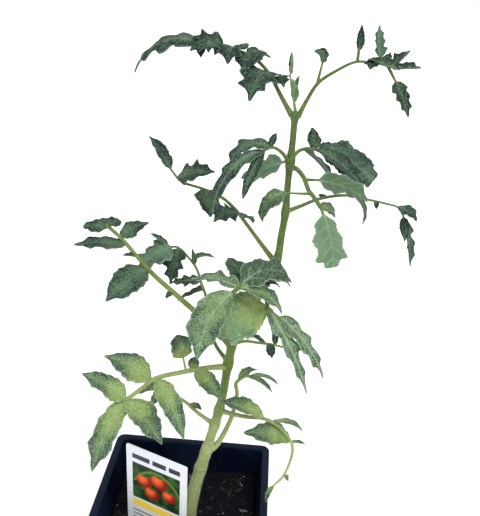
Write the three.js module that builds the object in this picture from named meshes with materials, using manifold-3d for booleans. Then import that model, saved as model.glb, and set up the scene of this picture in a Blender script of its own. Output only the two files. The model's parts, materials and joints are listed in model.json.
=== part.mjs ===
// A young tomato plant in a square nursery pot, with a plastic plant label.
//
// Millimetres, +Z up. The origin is the middle of the pot's underside, the
// viewer of the plant stands on the -Y side, and +X is to the right.
//
//   1. driving dimensions      4. stem, leaf stalks and leaflets
//   2. small geometry tools    5. the table of leaves
//   3. pot, soil, label        6. the group

import * as THREE from 'three';
import { mergeVertices } from 'three/addons/utils/BufferGeometryUtils.js';
import Module from 'manifold-3d';

const wasm = await Module();
wasm.setup();

// ------------------------------------------------------------------
// 1. Driving dimensions
// ------------------------------------------------------------------
const POT_RIM = 100;          // outer width over the rim (a 4-inch nursery pot)
const POT_HEIGHT = 90;
const POT_BASE = 68;          // outer width at the foot
const POT_WALL = 1.3;
const POT_FLOOR = 1.8;
const POT_CORNER = 4.5;       // corner radius of the plan
const RIM_LEDGE = 4.6;        // how far the rim stands out from the mouth
const RIM_SKIRT = 9;          // height of the turned-down band
const DRAIN_HOLE = 9;         // diameter of a drain hole
const DRAIN_PITCH = 19;       // from the middle, along x and y

const SOIL_TOP = 72;          // mean height of the soil's surface
const SOIL_ROUGH = 1.5;       // crumbs rise and fall by about this much
const GAP = 0.3;              // clearance between pieces that touch

const LABEL = {
  x: -13, y: -13, yaw: -23,   // middle of the plate and its turn about z
  width: 39, top: 130, shoulder: 70, tip: 28, stake: 15, thick: 1.0, round: 0.8,
};

const STEM_ROUTE = [          // main stem, root end to fork
  [3, 1, 30], [4, 0, 73], [7, 0, 97], [14, 0, 129], [20, 0, 158], [23, -1, 185], [26, -1, 203],
  [34, -1, 221], [40, 0, 234], [44, 0, 245], [45, 0, 257], [46, 0, 269], [46, 0, 285],
  [46.5, 0.3, 301], [46.6, 0.6, 315.5],
];
const STEM_RADIUS = [         // [height, radius]
  [30, 2.6], [66, 4.0], [76, 3.9], [97, 3.5], [129, 2.7], [158, 2.3], [203, 2.0], [245, 1.8],
  [285, 1.5], [312, 1.4], [315.5, 1.2],
];
const KNUCKLES = [            // [height, extra radius, reach] where leaves spring
  [112, 0.5, 4], [125, 0.4, 6], [143, 0.6, 5], [153, 0.7, 5], [184, 0.8, 7], [195, 0.6, 6],
  [223, 0.6, 6], [229, 0.6, 6], [243, 0.6, 6], [269, 0.5, 5], [293, 0.9, 6], [314, 0.8, 4],
];

const LEAF_THICK = 0.7;

// ------------------------------------------------------------------
// 2. Small geometry tools
// ------------------------------------------------------------------
const V = (x, y, z) => new THREE.Vector3(x, y, z);
const rad = THREE.MathUtils.degToRad;

/** Steady pseudo-random number in 0..1 for a pair of numbers. */
function hash(a, b = 0) {
  const s = Math.sin(a * 127.1 + b * 311.7 + 74.7) * 43758.5453;
  return s - Math.floor(s);
}

/** Linear look-up in a table of [x, y] rows. */
function table(rows, x) {
  if (x <= rows[0][0]) return rows[0][1];
  for (let i = 1; i < rows.length; i++) {
    if (x <= rows[i][0]) {
      const f = (x - rows[i - 1][0]) / (rows[i][0] - rows[i - 1][0]);
      return rows[i - 1][1] + f * (rows[i][1] - rows[i - 1][1]);
    }
  }
  return rows[rows.length - 1][1];
}

function geometryOf(points, faces) {
  const g = new THREE.BufferGeometry();
  g.setAttribute('position', new THREE.Float32BufferAttribute(points.flatMap((p) => [p.x, p.y, p.z]), 3));
  g.setIndex(faces.flat());
  return g;
}

/** A closed three.js geometry as a solid that can be cut and joined. */
function solid(geometry) {
  let g = geometry.clone();
  g.deleteAttribute('normal');
  g.deleteAttribute('uv');
  g = mergeVertices(g, 1e-4);
  return new wasm.Manifold(new wasm.Mesh({
    numProp: 3,
    vertProperties: new Float32Array(g.attributes.position.array),
    triVerts: new Uint32Array(g.index.array),
  }));
}

/** The largest body of a solid, as a three.js geometry. */
function toGeometry(manifold) {
  const bodies = manifold.decompose();
  bodies.sort((a, b) => b.volume() - a.volume());
  const m = bodies[0].getMesh();
  const g = new THREE.BufferGeometry();
  g.setAttribute('position', new THREE.BufferAttribute(new Float32Array(m.vertProperties), 3));
  g.setIndex(new THREE.BufferAttribute(new Uint32Array(m.triVerts), 1));
  return g;
}

/** Skin over rings of points: every ring has the same count, both ends closed by a fan. */
function loft(rings) {
  const n = rings[0].length;
  const pts = rings.flat();
  const faces = [];
  for (let r = 0; r + 1 < rings.length; r++) {
    for (let i = 0; i < n; i++) {
      const a = r * n + i, b = r * n + ((i + 1) % n), c = a + n, d = b + n;
      faces.push([a, b, d], [a, d, c]);
    }
  }
  const middle = (ring) => ring.reduce((s, p) => s.add(p), V(0, 0, 0)).divideScalar(n);
  const first = pts.length;
  pts.push(middle(rings[0]), middle(rings[rings.length - 1]));
  const last = (rings.length - 1) * n;
  for (let i = 0; i < n; i++) {
    const j = (i + 1) % n;
    faces.push([first, j, i], [first + 1, last + i, last + j]);
  }
  return geometryOf(pts, faces);
}

/** A rounded square, counter-clockwise from above, with extra points on its sides. */
function squareRing(half, corner, z, perSide = 0, perCorner = 4) {
  const ring = [];
  const r = Math.min(corner, half * 0.98);
  for (let q = 0; q < 4; q++) {
    const cx = (q === 0 || q === 3 ? 1 : -1) * (half - r);
    const cy = (q < 2 ? 1 : -1) * (half - r);
    for (let k = 0; k <= perCorner; k++) {
      const a = rad(90 * q + (90 * k) / perCorner);
      ring.push(V(cx + r * Math.cos(a), cy + r * Math.sin(a), z));
    }
    const along = V(-Math.cos(rad(90 * q)), -Math.sin(rad(90 * q)), 0);
    const from = ring[ring.length - 1];
    for (let k = 1; k <= perSide; k++) {
      ring.push(from.clone().addScaledVector(along, (2 * (half - r) * k) / (perSide + 1)));
    }
  }
  return ring;
}

/** A tapering tube along a curve, closed at both ends. */
function tube(curve, radiusAt, segments, sides) {
  const frames = curve.computeFrenetFrames(segments, false);
  const rings = [];
  for (let i = 0; i <= segments; i++) {
    const p = curve.getPointAt(i / segments);
    const r = radiusAt(i / segments, p);
    const ring = [];
    for (let k = 0; k < sides; k++) {
      const a = (2 * Math.PI * k) / sides;
      ring.push(p.clone()
        .addScaledVector(frames.normals[i], Math.cos(a) * r)
        .addScaledVector(frames.binormals[i], Math.sin(a) * r));
    }
    rings.push(ring);
  }
  return loft(rings);
}

// ------------------------------------------------------------------
// 3. Pot, soil and label
// ------------------------------------------------------------------
const mouth = POT_RIM / 2 - RIM_LEDGE;                 // half width of the inside at the rim
const foot = POT_BASE / 2;
/** Half width of the pot's inside at height z. */
const insideAt = (z) => {
  const up = (z - POT_FLOOR) / (POT_HEIGHT - POT_FLOOR);
  return foot - POT_WALL + (mouth - foot + POT_WALL) * up;
};

function makePot() {
  const under = POT_HEIGHT - POT_WALL;
  // the section: up the outside, round the rim, and down the inside to the floor
  const section = [
    [foot - 0.6, POT_CORNER - 0.4, 0], [foot, POT_CORNER, 1.2],
    [mouth + POT_WALL - 0.2, POT_CORNER, under],
    [POT_RIM / 2 - POT_WALL, POT_CORNER, under],
    [POT_RIM / 2 - POT_WALL, POT_CORNER, POT_HEIGHT - RIM_SKIRT],
    [POT_RIM / 2, POT_CORNER + 0.6, POT_HEIGHT - RIM_SKIRT],
    [POT_RIM / 2, POT_CORNER + 0.6, POT_HEIGHT - 0.8],
    [POT_RIM / 2 - 0.8, POT_CORNER, POT_HEIGHT],
    [mouth + 0.9, POT_CORNER - 0.6, POT_HEIGHT],
    [mouth, POT_CORNER - 1, POT_HEIGHT - 1],
    [insideAt(POT_FLOOR), POT_CORNER - 1.3, POT_FLOOR],
  ];
  let pot = solid(loft(section.map(([half, corner, z]) => squareRing(half, corner, z))));
  const drill = new THREE.CylinderGeometry(DRAIN_HOLE / 2, DRAIN_HOLE / 2, 8, 12).rotateX(Math.PI / 2);
  for (const [x, y] of [[1, 1], [1, -1], [-1, 1], [-1, -1]]) {
    pot = pot.subtract(solid(drill.clone().translate(x * DRAIN_PITCH, y * DRAIN_PITCH, 0)));
  }
  return toGeometry(pot);
}

/** Height of the soil's crumbly surface. */
function soilHeight(x, y) {
  const broad = 0.7 * Math.sin(x * 0.13 - y * 0.19 + 2.1);
  const lump = Math.sin(x * 0.31 + 1.3) * Math.cos(y * 0.27 - 0.4) + broad;
  const crumb = hash(Math.round(x * 3), Math.round(y * 3)) - 0.5;
  const mound = 1.6 * Math.exp(-((x - 4) ** 2 + y ** 2) / 220);
  return SOIL_TOP + SOIL_ROUGH * (0.45 * lump + 0.9 * crumb) + mound;
}

/** The soil fills the pot; stem and label stand in plain holes in it. */
function makeSoil() {
  const bottom = POT_FLOOR + GAP;
  const side = (z) => insideAt(z) - GAP;
  const rings = [
    squareRing(side(bottom) - 0.5, POT_CORNER - 2, bottom, 2),
    squareRing(side(SOIL_TOP - 2) - 0.1, POT_CORNER - 1.3, SOIL_TOP - 2.5, 2),
  ];
  const edge = side(SOIL_TOP) - 0.6;
  for (const f of [1, 0.84, 0.66, 0.48, 0.3, 0.14]) {
    const ring = squareRing(edge * f, Math.max(1, POT_CORNER * f), SOIL_TOP, 2);
    for (const p of ring) p.z = soilHeight(p.x, p.y) - (f === 1 ? 0.8 : 0);
    rings.push(ring);
  }
  return toGeometry(solid(loft(rings)).subtract(solid(stemTube(GAP))).subtract(solid(labelPlate(GAP))));
}

/** The label's plate: square shoulders above, a pointed stake below. */
function labelPlate(grow = 0) {
  const w = LABEL.width / 2 + grow;
  const s = LABEL.stake / 2 + grow;
  const r = LABEL.round;
  const point = 1.5 + 2 * grow;
  const top = LABEL.top + grow;
  const shoulder = LABEL.shoulder - grow;
  const tip = LABEL.tip - grow;
  const shape = new THREE.Shape();
  shape.moveTo(-w, shoulder + r);
  shape.absarc(-w + r, shoulder + r, r, Math.PI, 1.5 * Math.PI, false);
  shape.lineTo(-s - 3, shoulder);
  shape.quadraticCurveTo(-s, shoulder, -s, shoulder - 4);
  shape.lineTo(-s, tip + 12);
  shape.lineTo(-point, tip);
  shape.lineTo(point, tip);
  shape.lineTo(s, tip + 12);
  shape.lineTo(s, shoulder - 4);
  shape.quadraticCurveTo(s, shoulder, s + 3, shoulder);
  shape.absarc(w - r, shoulder + r, r, 1.5 * Math.PI, 2 * Math.PI, false);
  shape.absarc(w - r, top - r, r, 0, 0.5 * Math.PI, false);
  shape.absarc(-w + r, top - r, r, 0.5 * Math.PI, Math.PI, false);
  shape.closePath();
  const thick = LABEL.thick + 2 * grow;
  return new THREE.ExtrudeGeometry(shape, { depth: thick, bevelEnabled: false, curveSegments: 3 })
    .translate(0, 0, -thick / 2)
    .rotateX(Math.PI / 2)
    .rotateZ(rad(LABEL.yaw))
    .translate(LABEL.x, LABEL.y, 0);
}

// ------------------------------------------------------------------
// 4. Stem, leaf stalks and leaflets
// ------------------------------------------------------------------
const curveOf = (route) => new THREE.CatmullRomCurve3(route.map((p) => V(...p)), false, 'catmullrom', 0.5);

/** The main stem; `grow` gives the same stem with that much clearance round it. */
function stemTube(grow = 0) {
  const route = STEM_ROUTE.map((p) => [...p]);
  route[0][2] -= grow;
  route[route.length - 1][2] += grow;
  const radiusAt = (t, p) => {
    let r = table(STEM_RADIUS, p.z);
    for (const [z, extra, reach] of KNUCKLES) r += extra * Math.exp(-(((p.z - z) / reach) ** 2) * 2.5);
    return r + grow * 1.5;
  };
  return tube(curveOf(route), radiusAt, 48, 7);
}
const stemWithClearance = solid(stemTube(GAP));

// Outlines of a leaflet: [way along, half width, how far the edge sweeps forward],
// as shares of the length, of half the full width and of the length.
const OUTLINES = {
  lobed: [
    [0, 0.08, 0], [0.1, 0.55, -0.03], [0.24, 0.95, 0.02], [0.34, 0.66, -0.01], [0.48, 1.0, 0.04],
    [0.58, 0.62, 0], [0.72, 0.66, 0.05], [0.82, 0.34, 0], [1, 0.05, 0],
  ],
  oval: [
    [0, 0.08, 0], [0.14, 0.62, -0.02], [0.32, 1.0, 0], [0.5, 0.92, 0.01], [0.67, 0.76, 0.03],
    [0.83, 0.4, 0.01], [1, 0.05, 0],
  ],
  ragged: [
    [0, 0.07, 0], [0.12, 0.5, 0], [0.3, 0.84, 0], [0.5, 1.0, 0], [0.66, 0.92, 0.03], [0.8, 0.94, 0.08],
    [0.85, 0.6, 0.03], [0.92, 0.5, 0.07], [1, 0.1, 0],
  ],
  round: [
    [0, 0.12, 0], [0.14, 0.72, -0.03], [0.36, 1.0, 0], [0.6, 0.92, 0.01], [0.82, 0.58, 0.03], [1, 0.1, 0],
  ],
  lance: [
    [0, 0.14, 0], [0.2, 0.8, 0], [0.45, 1.0, 0], [0.72, 0.7, 0.02], [1, 0.08, 0],
  ],
};

/** A unit vector for a compass direction and a rise, both in degrees. */
const heading = (az, el) => {
  const flat = Math.cos(rad(el));
  return V(Math.cos(rad(az)) * flat, Math.sin(rad(az)) * flat, Math.sin(rad(el)));
};

/**
 * One leaflet: a thin blade folded up a little along its midrib, arching down by
 * `droop` degrees on its way and cut into lobes by its outline.
 */
function leaflet(base, az, el, length, width, droop, roll, fold, kind, turn, seed) {
  const outline = OUTLINES[kind];
  const steps = 24;
  const path = [base.clone()];
  for (let i = 1; i <= steps; i++) {
    const s = (i - 0.5) / steps;
    path.push(path[i - 1].clone().addScaledVector(heading(az + turn * s, el - droop * s), length / steps));
  }
  const pointAt = (s) => {
    const f = Math.min(Math.max(s, 0), 1) * steps;
    const i = Math.min(Math.floor(f), steps - 1);
    return path[i].clone().lerp(path[i + 1], f - i);
  };
  const lift = (LEAF_THICK / 2) / Math.cos(rad(fold));
  const pts = [], faces = [];
  outline.forEach(([s, half, sweep], i) => {
    const a = az + turn * s;
    const e = el - droop * s;
    const along = heading(a, e);
    const level = V(-Math.sin(rad(a)), Math.cos(rad(a)), 0);
    const upright = along.clone().cross(level);
    const cr = Math.cos(rad(roll));
    const sr = Math.sin(rad(roll));
    const left = level.clone().multiplyScalar(cr).addScaledVector(upright, sr);
    const up = upright.clone().multiplyScalar(cr).addScaledVector(level, -sr);
    const row = [1, 0, -1].map((side) => {
      const p = pointAt(s);
      if (side === 0) return p;
      const uneven = 1 + 0.2 * (hash(seed + i, side) - 0.5);
      const h = Math.max((half * uneven * width) / 2, 0.7);
      const wave = 0.05 * width * half * Math.sin(9 * s + seed + side);
      return p.addScaledVector(left, side * h * Math.cos(rad(fold)))
        .addScaledVector(up, h * Math.sin(rad(fold)) + wave)
        .addScaledVector(along, sweep * length);
    });
    for (const sign of [1, -1]) for (const p of row) pts.push(p.clone().addScaledVector(up, sign * lift));
  });
  // six points a station: 0 1 2 = top left, rib, right; 3 4 5 the same below
  const last = outline.length - 1;
  for (let i = 0; i < last; i++) {
    const a = i * 6, b = a + 6;
    faces.push(
      [a, a + 1, b], [a + 1, b + 1, b], [a + 1, a + 2, b + 2], [a + 1, b + 2, b + 1],
      [a + 3, b + 3, a + 4], [a + 4, b + 3, b + 4], [a + 4, b + 5, a + 5], [a + 4, b + 4, b + 5],
      [a, b, b + 3], [a, b + 3, a + 3], [a + 2, b + 5, b + 2], [a + 2, a + 5, b + 5],
    );
  }
  faces.push([0, 4, 1], [0, 3, 4], [1, 5, 2], [1, 4, 5]);
  const z = last * 6;
  faces.push([z, z + 1, z + 4], [z, z + 4, z + 3], [z + 1, z + 2, z + 5], [z + 1, z + 5, z + 4]);
  return geometryOf(pts, faces);
}

/** A compound leaf: its stalk and the leaflets that spring from it, as one solid. */
function makeLeaf({ thick, thin, route, leaflets }, index) {
  const stalk = curveOf(route);
  const stalkRadius = (t) => (thick + (thin - thick) * t) * (1 + 0.25 * Math.exp(-12 * t));
  const parts = [solid(tube(stalk, stalkRadius, Math.round(route.length * 1.5), 5))];
  leaflets.forEach(([at, az, el, length, width, droop, roll, fold, kind, petiolule = 0, turn = 0], k) => {
    let base = stalk.getPointAt(at);
    if (petiolule > 0) {
      const end = base.clone().addScaledVector(heading(az, el), petiolule + 0.8);
      parts.push(solid(tube(new THREE.LineCurve3(base, end), () => 0.6, 1, 5)));
      base = base.clone().addScaledVector(heading(az, el), petiolule);
    }
    const seed = index * 20 + k;
    parts.push(solid(leaflet(base, az, el, length - petiolule, width, droop, roll, fold, kind, turn, seed)));
  });
  return wasm.Manifold.union(parts).subtract(stemWithClearance);
}

// ------------------------------------------------------------------
// 5. The leaves, from the top of the stem down
// ------------------------------------------------------------------
// thick, thin: radius of the stalk at the stem and at its end.
// A leaflet's numbers: where it springs on the stalk (0 to 1), the direction
// (0 = +X, 90 = +Y) and rise it sets off in, its length and width, how far it
// droops, rolls about its midrib and folds up along it, its outline, and where
// it has them the length of its own stalk and its sideways turn.
// Angles are in degrees, lengths in millimetres.
const LEAVES = [
  {
    name: 'upper_left', thick: 1.0, thin: 0.6,
    route: [[45.2, 0.7, 313.5], [40, 3, 321], [33, 8, 331], [24, 13, 337], [12, 18, 339], [1, 22, 340]],
    leaflets: [
      [1.00, 173, 20, 39, 13, 92, -28, -5, 'lobed'],
      [0.99, 280, -20, 8, 5, 60, 0, 15, 'oval'],
      [0.80, 195, 30, 16, 16, 75, -35, 5, 'lobed'],
      [0.70, 262, 40, 17, 16, 120, 0, 10, 'lobed'],
      [0.60, 25, 25, 13, 10, 65, 15, 5, 'oval'],
      [0.52, 250, 40, 15, 14, 120, 0, 5, 'oval'],
      [0.36, 250, 18, 25, 18, 85, -10, 5, 'lobed'],
      [0.30, 300, 48, 12, 11, 115, 10, 5, 'lobed'],
    ],
  },
  {
    name: 'upper_right', thick: 0.9, thin: 0.5,
    route: [
      [47.9, -0.5, 313.5], [51, -2, 321], [55, -5, 329], [62, -9, 335], [69, -12, 339], [77, -14, 339],
      [83, -16, 338],
    ],
    leaflets: [
      [1.00, 350, 12, 11, 8, 15, 10, 10, 'lobed'],
      [0.99, 25, 45, 10, 7, 10, 0, 20, 'lobed'],
      [0.93, 60, 45, 7, 4, 10, 0, 15, 'oval'],
      [0.96, 320, -50, 22, 7, 15, 30, 5, 'lobed', 7],
      [0.92, 165, 70, 15, 7, -20, 50, 15, 'lobed', 3],
      [0.72, 80, 85, 14, 4, 0, 20, 30, 'oval', 4],
      [0.80, 320, 10, 15, 9, 30, 10, 15, 'lobed'],
      [0.86, 250, 20, 9, 7, 60, 0, 10, 'oval'],
      [0.33, 150, 100, 16, 6, 110, 0, 40, 'lance', 9],
    ],
  },
  {
    name: 'growing_tip', thick: 0.7, thin: 0.5,
    route: [[47.1, 2.6, 313.5], [45.5, 2, 320], [44, 2, 326], [43, 2, 331]],
    leaflets: [
      [1.00, 20, 82, 9, 2.6, -20, 0, 30, 'lance'],
      [0.30, 235, 80, 11, 4, 10, 0, 45, 'lance'],
      [0.35, 60, 80, 11, 3.5, 10, 0, 40, 'lance'],
    ],
  },
  {
    name: 'middle_left', thick: 0.9, thin: 0.6,
    route: [[45.5, -0.5, 293], [42, -4, 298], [38, -8, 301], [34, -11, 300]],
    leaflets: [
      [0.80, 190, 32, 25, 9, 125, -25, 5, 'lobed'],
      [1.00, 221, 0, 39, 8, 85, -20, 5, 'lobed'],
      [0.05, 210, -8, 24, 15, 15, 60, 0, 'oval', 3],
      [0.80, 60, 60, 7, 4, 10, 0, 20, 'lance'],
      [0.98, 240, -35, 24, 6, 30, 0, 10, 'lance'],
    ],
  },
  {
    name: 'middle_right', thick: 0.9, thin: 0.7,
    route: [[46, 0.5, 293], [49.5, 4, 297], [54, 7, 298], [60, 10, 297]],
    leaflets: [
      [1.00, 0, -5, 30, 19, 45, 40, 5, 'ragged'],
      [0.85, 120, 65, 10, 7, 0, 0, 10, 'round'],
      [0.95, 35, 5, 20, 9, 40, 25, 10, 'oval'],
      [0.55, 318, -15, 22, 8, 35, -30, 15, 'lance'],
      [0.80, 335, -5, 27, 9, 45, 20, 10, 'ragged'],
    ],
  },
  {
    name: 'front_right', thick: 1.1, thin: 0.9,
    route: [[46, -0.5, 291], [49, -8, 292], [52, -17, 291], [54, -25, 288], [56, -31, 287], [59, -35, 284]],
    leaflets: [
      [1.00, 303, -50, 25, 15, 25, 180, 5, 'ragged', 3],
      [0.78, 202, 5, 29, 9, 110, -20, 10, 'oval', 11],
      [0.50, 350, 5, 29, 16, 45, -50, 5, 'oval', 6],
      [0.98, 15, -5, 9, 6, 60, 30, 10, 'round'],
    ],
  },
  {
    name: 'right_back', thick: 0.9, thin: 0.5,
    route: [
      [46, 0, 269], [53, 7, 270], [63, 15, 272], [76, 23, 272], [88, 28, 269], [98, 33, 266], [106, 36, 263],
      [110, 37, 256],
    ],
    leaflets: [
      [1.00, 320, -65, 25, 9, 15, 0, 20, 'lobed'],
      [0.97, 280, -50, 13, 6, 20, 0, 15, 'oval'],
      [0.88, 330, 10, 13, 9, 70, 15, 10, 'oval'],
      [0.55, 350, -30, 16, 5, 80, 0, 20, 'lance'],
      [0.70, 290, -50, 4, 3, 20, 0, 10, 'lance'],
      [0.30, 90, 15, 5, 4, 20, 0, 10, 'lance'],
    ],
  },
  {
    name: 'left_high', thick: 1.1, thin: 0.6,
    route: [
      [43, 0, 243], [35, 7, 250], [28, 14, 256], [21, 20, 262], [13, 26, 266], [3, 31, 268], [-8, 34, 270],
      [-14, 35, 276],
    ],
    leaflets: [
      [1.00, 165, 60, 20, 9, 15, -20, 20, 'oval'],
      [0.93, 350, 30, 21, 17, 30, 25, 5, 'lobed'],
      [0.72, 290, -10, 18, 13, 50, 0, 10, 'oval'],
      [0.42, 228, 25, 17, 15, 60, -15, 5, 'lobed'],
      [0.38, 40, 15, 10, 8, 90, 0, 10, 'oval'],
    ],
  },
  {
    name: 'front', thick: 1.4, thin: 1.0,
    route: [[34.5, -1, 222], [32, -10, 231], [30, -20, 238], [28, -30, 243], [25, -38, 244]],
    leaflets: [
      [1.00, 218, -24, 33, 16.5, 45, -15, 5, 'oval', 0, 40],
      [0.85, 155, 15, 25, 13, 40, 0, 5, 'lobed'],
      [0.78, 25, 60, 27, 20, 110, 10, 5, 'ragged'],
      [0.60, 120, 50, 21, 11, 60, 0, 10, 'oval'],
      [0.85, 355, 10, 24, 9, 75, 15, 10, 'oval'],
      [0.70, 30, 35, 22, 12, 90, 10, 5, 'lobed'],
    ],
  },
  {
    name: 'front_low', thick: 1.4, thin: 1.0,
    route: [[37, -1, 228.5], [38.5, -8, 232], [40, -16, 231], [41, -24, 230]],
    leaflets: [
      [1.00, 326, -42, 43, 9, 25, 10, 15, 'lobed'],
      [1.00, 352, -32, 44, 11, 38, 20, 10, 'lobed', 6],
      [0.95, 205, 0, 28, 21, 35, -45, 0, 'ragged'],
      [0.88, 60, -60, 20, 5, 15, 0, 10, 'lance'],
    ],
  },
  {
    name: 'low_right_back', thick: 0.9, thin: 0.6,
    route: [[25, -0.5, 196], [31, 6, 194], [38, 12, 190], [45, 18, 186], [53, 24, 181]],
    leaflets: [
      [1.00, 25, -5, 22, 10, 30, 0, 15, 'lobed'],
      [0.62, 190, 42, 14, 5, 20, 0, 20, 'lance'],
      [0.66, 300, -35, 8, 6, 30, 0, 20, 'oval'],
      [0.80, 100, 60, 10, 4, 20, 0, 20, 'lance'],
    ],
  },
  {
    name: 'left', thick: 1.7, thin: 0.9,
    route: [
      [24.5, -0.5, 194], [14, 4, 202], [4, 8, 208], [-9, 12, 217], [-19, 15, 224], [-29, 17, 234],
      [-37, 19, 242], [-45, 20, 248.5],
    ],
    leaflets: [
      [0.98, 176, 8, 14, 11, 25, -18, 0, 'round'],
      [1.00, 45, 12, 9, 9, 20, 15, 5, 'round'],
      [0.84, 190, 12, 27, 12, 25, -12, 8, 'oval'],
      [0.90, 25, 42, 17, 11, 40, 20, 5, 'oval'],
      [0.66, 225, -10, 28, 19, 30, -15, 10, 'oval'],
      [0.76, 210, 20, 7, 4, 20, 0, 10, 'lance'],
      [0.47, 230, -20, 5, 4, 30, 0, 10, 'lance'],
    ],
  },
  {
    name: 'left_back', thick: 1.0, thin: 0.6,
    route: [
      [23, -0.5, 184], [14, 8, 192], [9, 16, 211], [5, 21, 219], [2, 25, 225], [-3, 28, 230], [-9, 31, 234],
      [-15, 33, 233],
    ],
    leaflets: [
      [0.97, 212, -8, 23, 21, 40, -10, 5, 'lobed'],
      [1.00, 150, 30, 13, 5, 15, 0, 25, 'lance'],
      [0.90, 248, -40, 20, 13, 40, 0, 10, 'lobed'],
      [0.78, 20, 45, 14, 5, 80, 0, 20, 'oval'],
      [0.74, 120, 75, 9, 3, 20, 0, 20, 'lance'],
      [0.62, 190, 10, 17, 9, 30, -15, 15, 'lobed'],
      [0.56, 168, -15, 18, 11, 40, 0, 10, 'lobed'],
    ],
  },
  {
    name: 'low_left', thick: 1.4, thin: 1.0,
    route: [[22.5, -1, 182], [13, -8, 185], [1, -15, 186], [-11, -22, 186], [-17, -27, 183], [-24, -32, 179]],
    leaflets: [
      [1.00, 180, 50, 25, 12, 35, -25, 10, 'oval'],
      [1.00, 235, -35, 37, 15, 35, -5, 10, 'oval'],
      [1.00, 325, -10, 28, 15, 35, 0, 10, 'oval'],
      [0.74, 168, 42, 27, 14, 45, -25, 10, 'oval'],
      [0.70, 315, -20, 33, 12, 45, 5, 15, 'oval'],
      [0.33, 322, -10, 20, 11, 35, 10, 10, 'oval'],
      [0.42, 130, 65, 19, 13, 10, 0, 5, 'round', 7],
      [0.36, 90, 40, 8, 6, 30, 0, 10, 'lance'],
    ],
  },
  {
    name: 'low_right', thick: 1.2, thin: 0.6,
    route: [
      [19, 0, 153], [27, -5, 155], [35, -9, 157], [43, -13, 160], [51, -17, 159], [58, -21, 153],
      [59, -22, 145], [56, -24, 134], [51, -25, 127],
    ],
    leaflets: [
      [1.00, 215, -60, 10, 4, 10, 0, 30, 'lance'],
      [0.38, 172, 38, 26, 11, 50, -10, 10, 'oval'],
      [0.62, 172, 20, 25, 15, 40, -10, 10, 'oval'],
      [0.45, 350, 40, 17, 5, 90, 0, 25, 'lance'],
      [0.62, 15, -5, 8, 2.5, 20, 0, 10, 'lance'],
      [0.88, 330, -40, 4, 3, 20, 0, 10, 'lance'],
    ],
  },
  {
    name: 'low_left_back', thick: 1.2, thin: 0.7,
    route: [[17, 0, 143], [7, 3, 148], [0, 6, 152], [-8, 8, 155], [-15, 9, 157]],
    leaflets: [
      [1.00, 170, 0, 14, 8, 50, 0, 20, 'oval'],
      [0.95, 215, -25, 12, 7, 50, 0, 20, 'oval'],
      [0.50, 330, 20, 9, 5, 30, 0, 20, 'lance'],
    ],
  },
  {
    name: 'low_back', thick: 1.6, thin: 0.9,
    route: [
      [13, 0, 124], [18, 2, 127], [22, 4, 134], [26, 6, 145], [28, 11, 156], [27, 15, 161], [31, 19, 163],
      [34, 23, 161],
    ],
    leaflets: [
      [1.00, 20, 5, 21, 4, 60, 0, 30, 'lance'],
      [0.97, 350, -5, 17, 4, 45, 0, 30, 'lance'],
      [0.84, 40, 50, 14, 6, 80, 0, 20, 'oval'],
    ],
  },
];
const DARK_LEAVES = [
  'upper_left', 'upper_right', 'middle_left', 'middle_right', 'right_back', 'left_high', 'left', 'left_back',
  'low_right_back',
];

// ------------------------------------------------------------------
// 6. The group
// ------------------------------------------------------------------
const plant = new THREE.Group();
plant.name = 'tomato_plant';

function add(name, geometry, color, roughness = 0.7) {
  geometry.computeVertexNormals();
  const mesh = new THREE.Mesh(geometry, new THREE.MeshStandardMaterial({ color, roughness, metalness: 0 }));
  mesh.name = name;
  plant.add(mesh);
}

add('pot', makePot(), 0x1c2128, 0.5);
add('soil', makeSoil(), 0x14120f, 0.95);
add('label', labelPlate(), 0xf2f0ea, 0.4);
add('stem', stemTube(), 0x7f9450, 0.6);
LEAVES.forEach((leaf, i) => {
  const color = DARK_LEAVES.includes(leaf.name) ? 0x46633f : 0x6f9144;
  add(`leaf_${leaf.name}`, toGeometry(makeLeaf(leaf, i)), color, 0.6);
});

export default plant;
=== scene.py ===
# %% [markdown]
# # A young tomato plant in its nursery pot
#
# The construction comes from the imported model: a square plastic pot, the potting
# mix in it, a stake label, the leaning stem and one solid for every compound leaf.
# Those solids have the true sizes and places, but their blades are coarse. This
# lesson keeps every piece where it is and gives it the surface that the eye looks
# for on a tomato plant: scalloped, quilted leaflets, hairy stalks, crumbly mix and
# worn black plastic.
#
# The first cell loads the model.

# %% Load the imported model
import json
import math

import bpy
import numpy as np
from mathutils import Matrix, Vector, noise

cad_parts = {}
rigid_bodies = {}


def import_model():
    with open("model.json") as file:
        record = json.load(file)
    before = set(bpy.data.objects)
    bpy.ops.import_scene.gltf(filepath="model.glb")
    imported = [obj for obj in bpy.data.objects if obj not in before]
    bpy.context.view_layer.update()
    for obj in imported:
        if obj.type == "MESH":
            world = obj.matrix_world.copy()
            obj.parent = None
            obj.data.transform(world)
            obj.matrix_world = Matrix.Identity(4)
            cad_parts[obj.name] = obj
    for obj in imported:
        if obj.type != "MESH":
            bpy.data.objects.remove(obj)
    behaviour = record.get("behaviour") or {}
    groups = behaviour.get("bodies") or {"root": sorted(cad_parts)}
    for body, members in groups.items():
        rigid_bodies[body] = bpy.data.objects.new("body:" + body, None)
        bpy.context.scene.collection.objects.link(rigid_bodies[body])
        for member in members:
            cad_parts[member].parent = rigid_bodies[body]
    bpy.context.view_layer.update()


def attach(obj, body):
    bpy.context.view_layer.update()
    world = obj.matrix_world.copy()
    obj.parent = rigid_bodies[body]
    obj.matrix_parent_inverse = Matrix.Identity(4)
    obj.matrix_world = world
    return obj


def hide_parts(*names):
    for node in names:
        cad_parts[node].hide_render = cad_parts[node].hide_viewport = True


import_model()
MM = 0.001
BODY = "root"

# %% [markdown]
# ## The camera
#
# The photograph looks down on the plant from the front, a little tilted. The four
# corners of a square pot rim are enough to work out where such a camera stood, so
# the camera is placed by its position, its turn, how far it looks down and how far
# it rolls, and the model needs no fitting to the picture.

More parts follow.
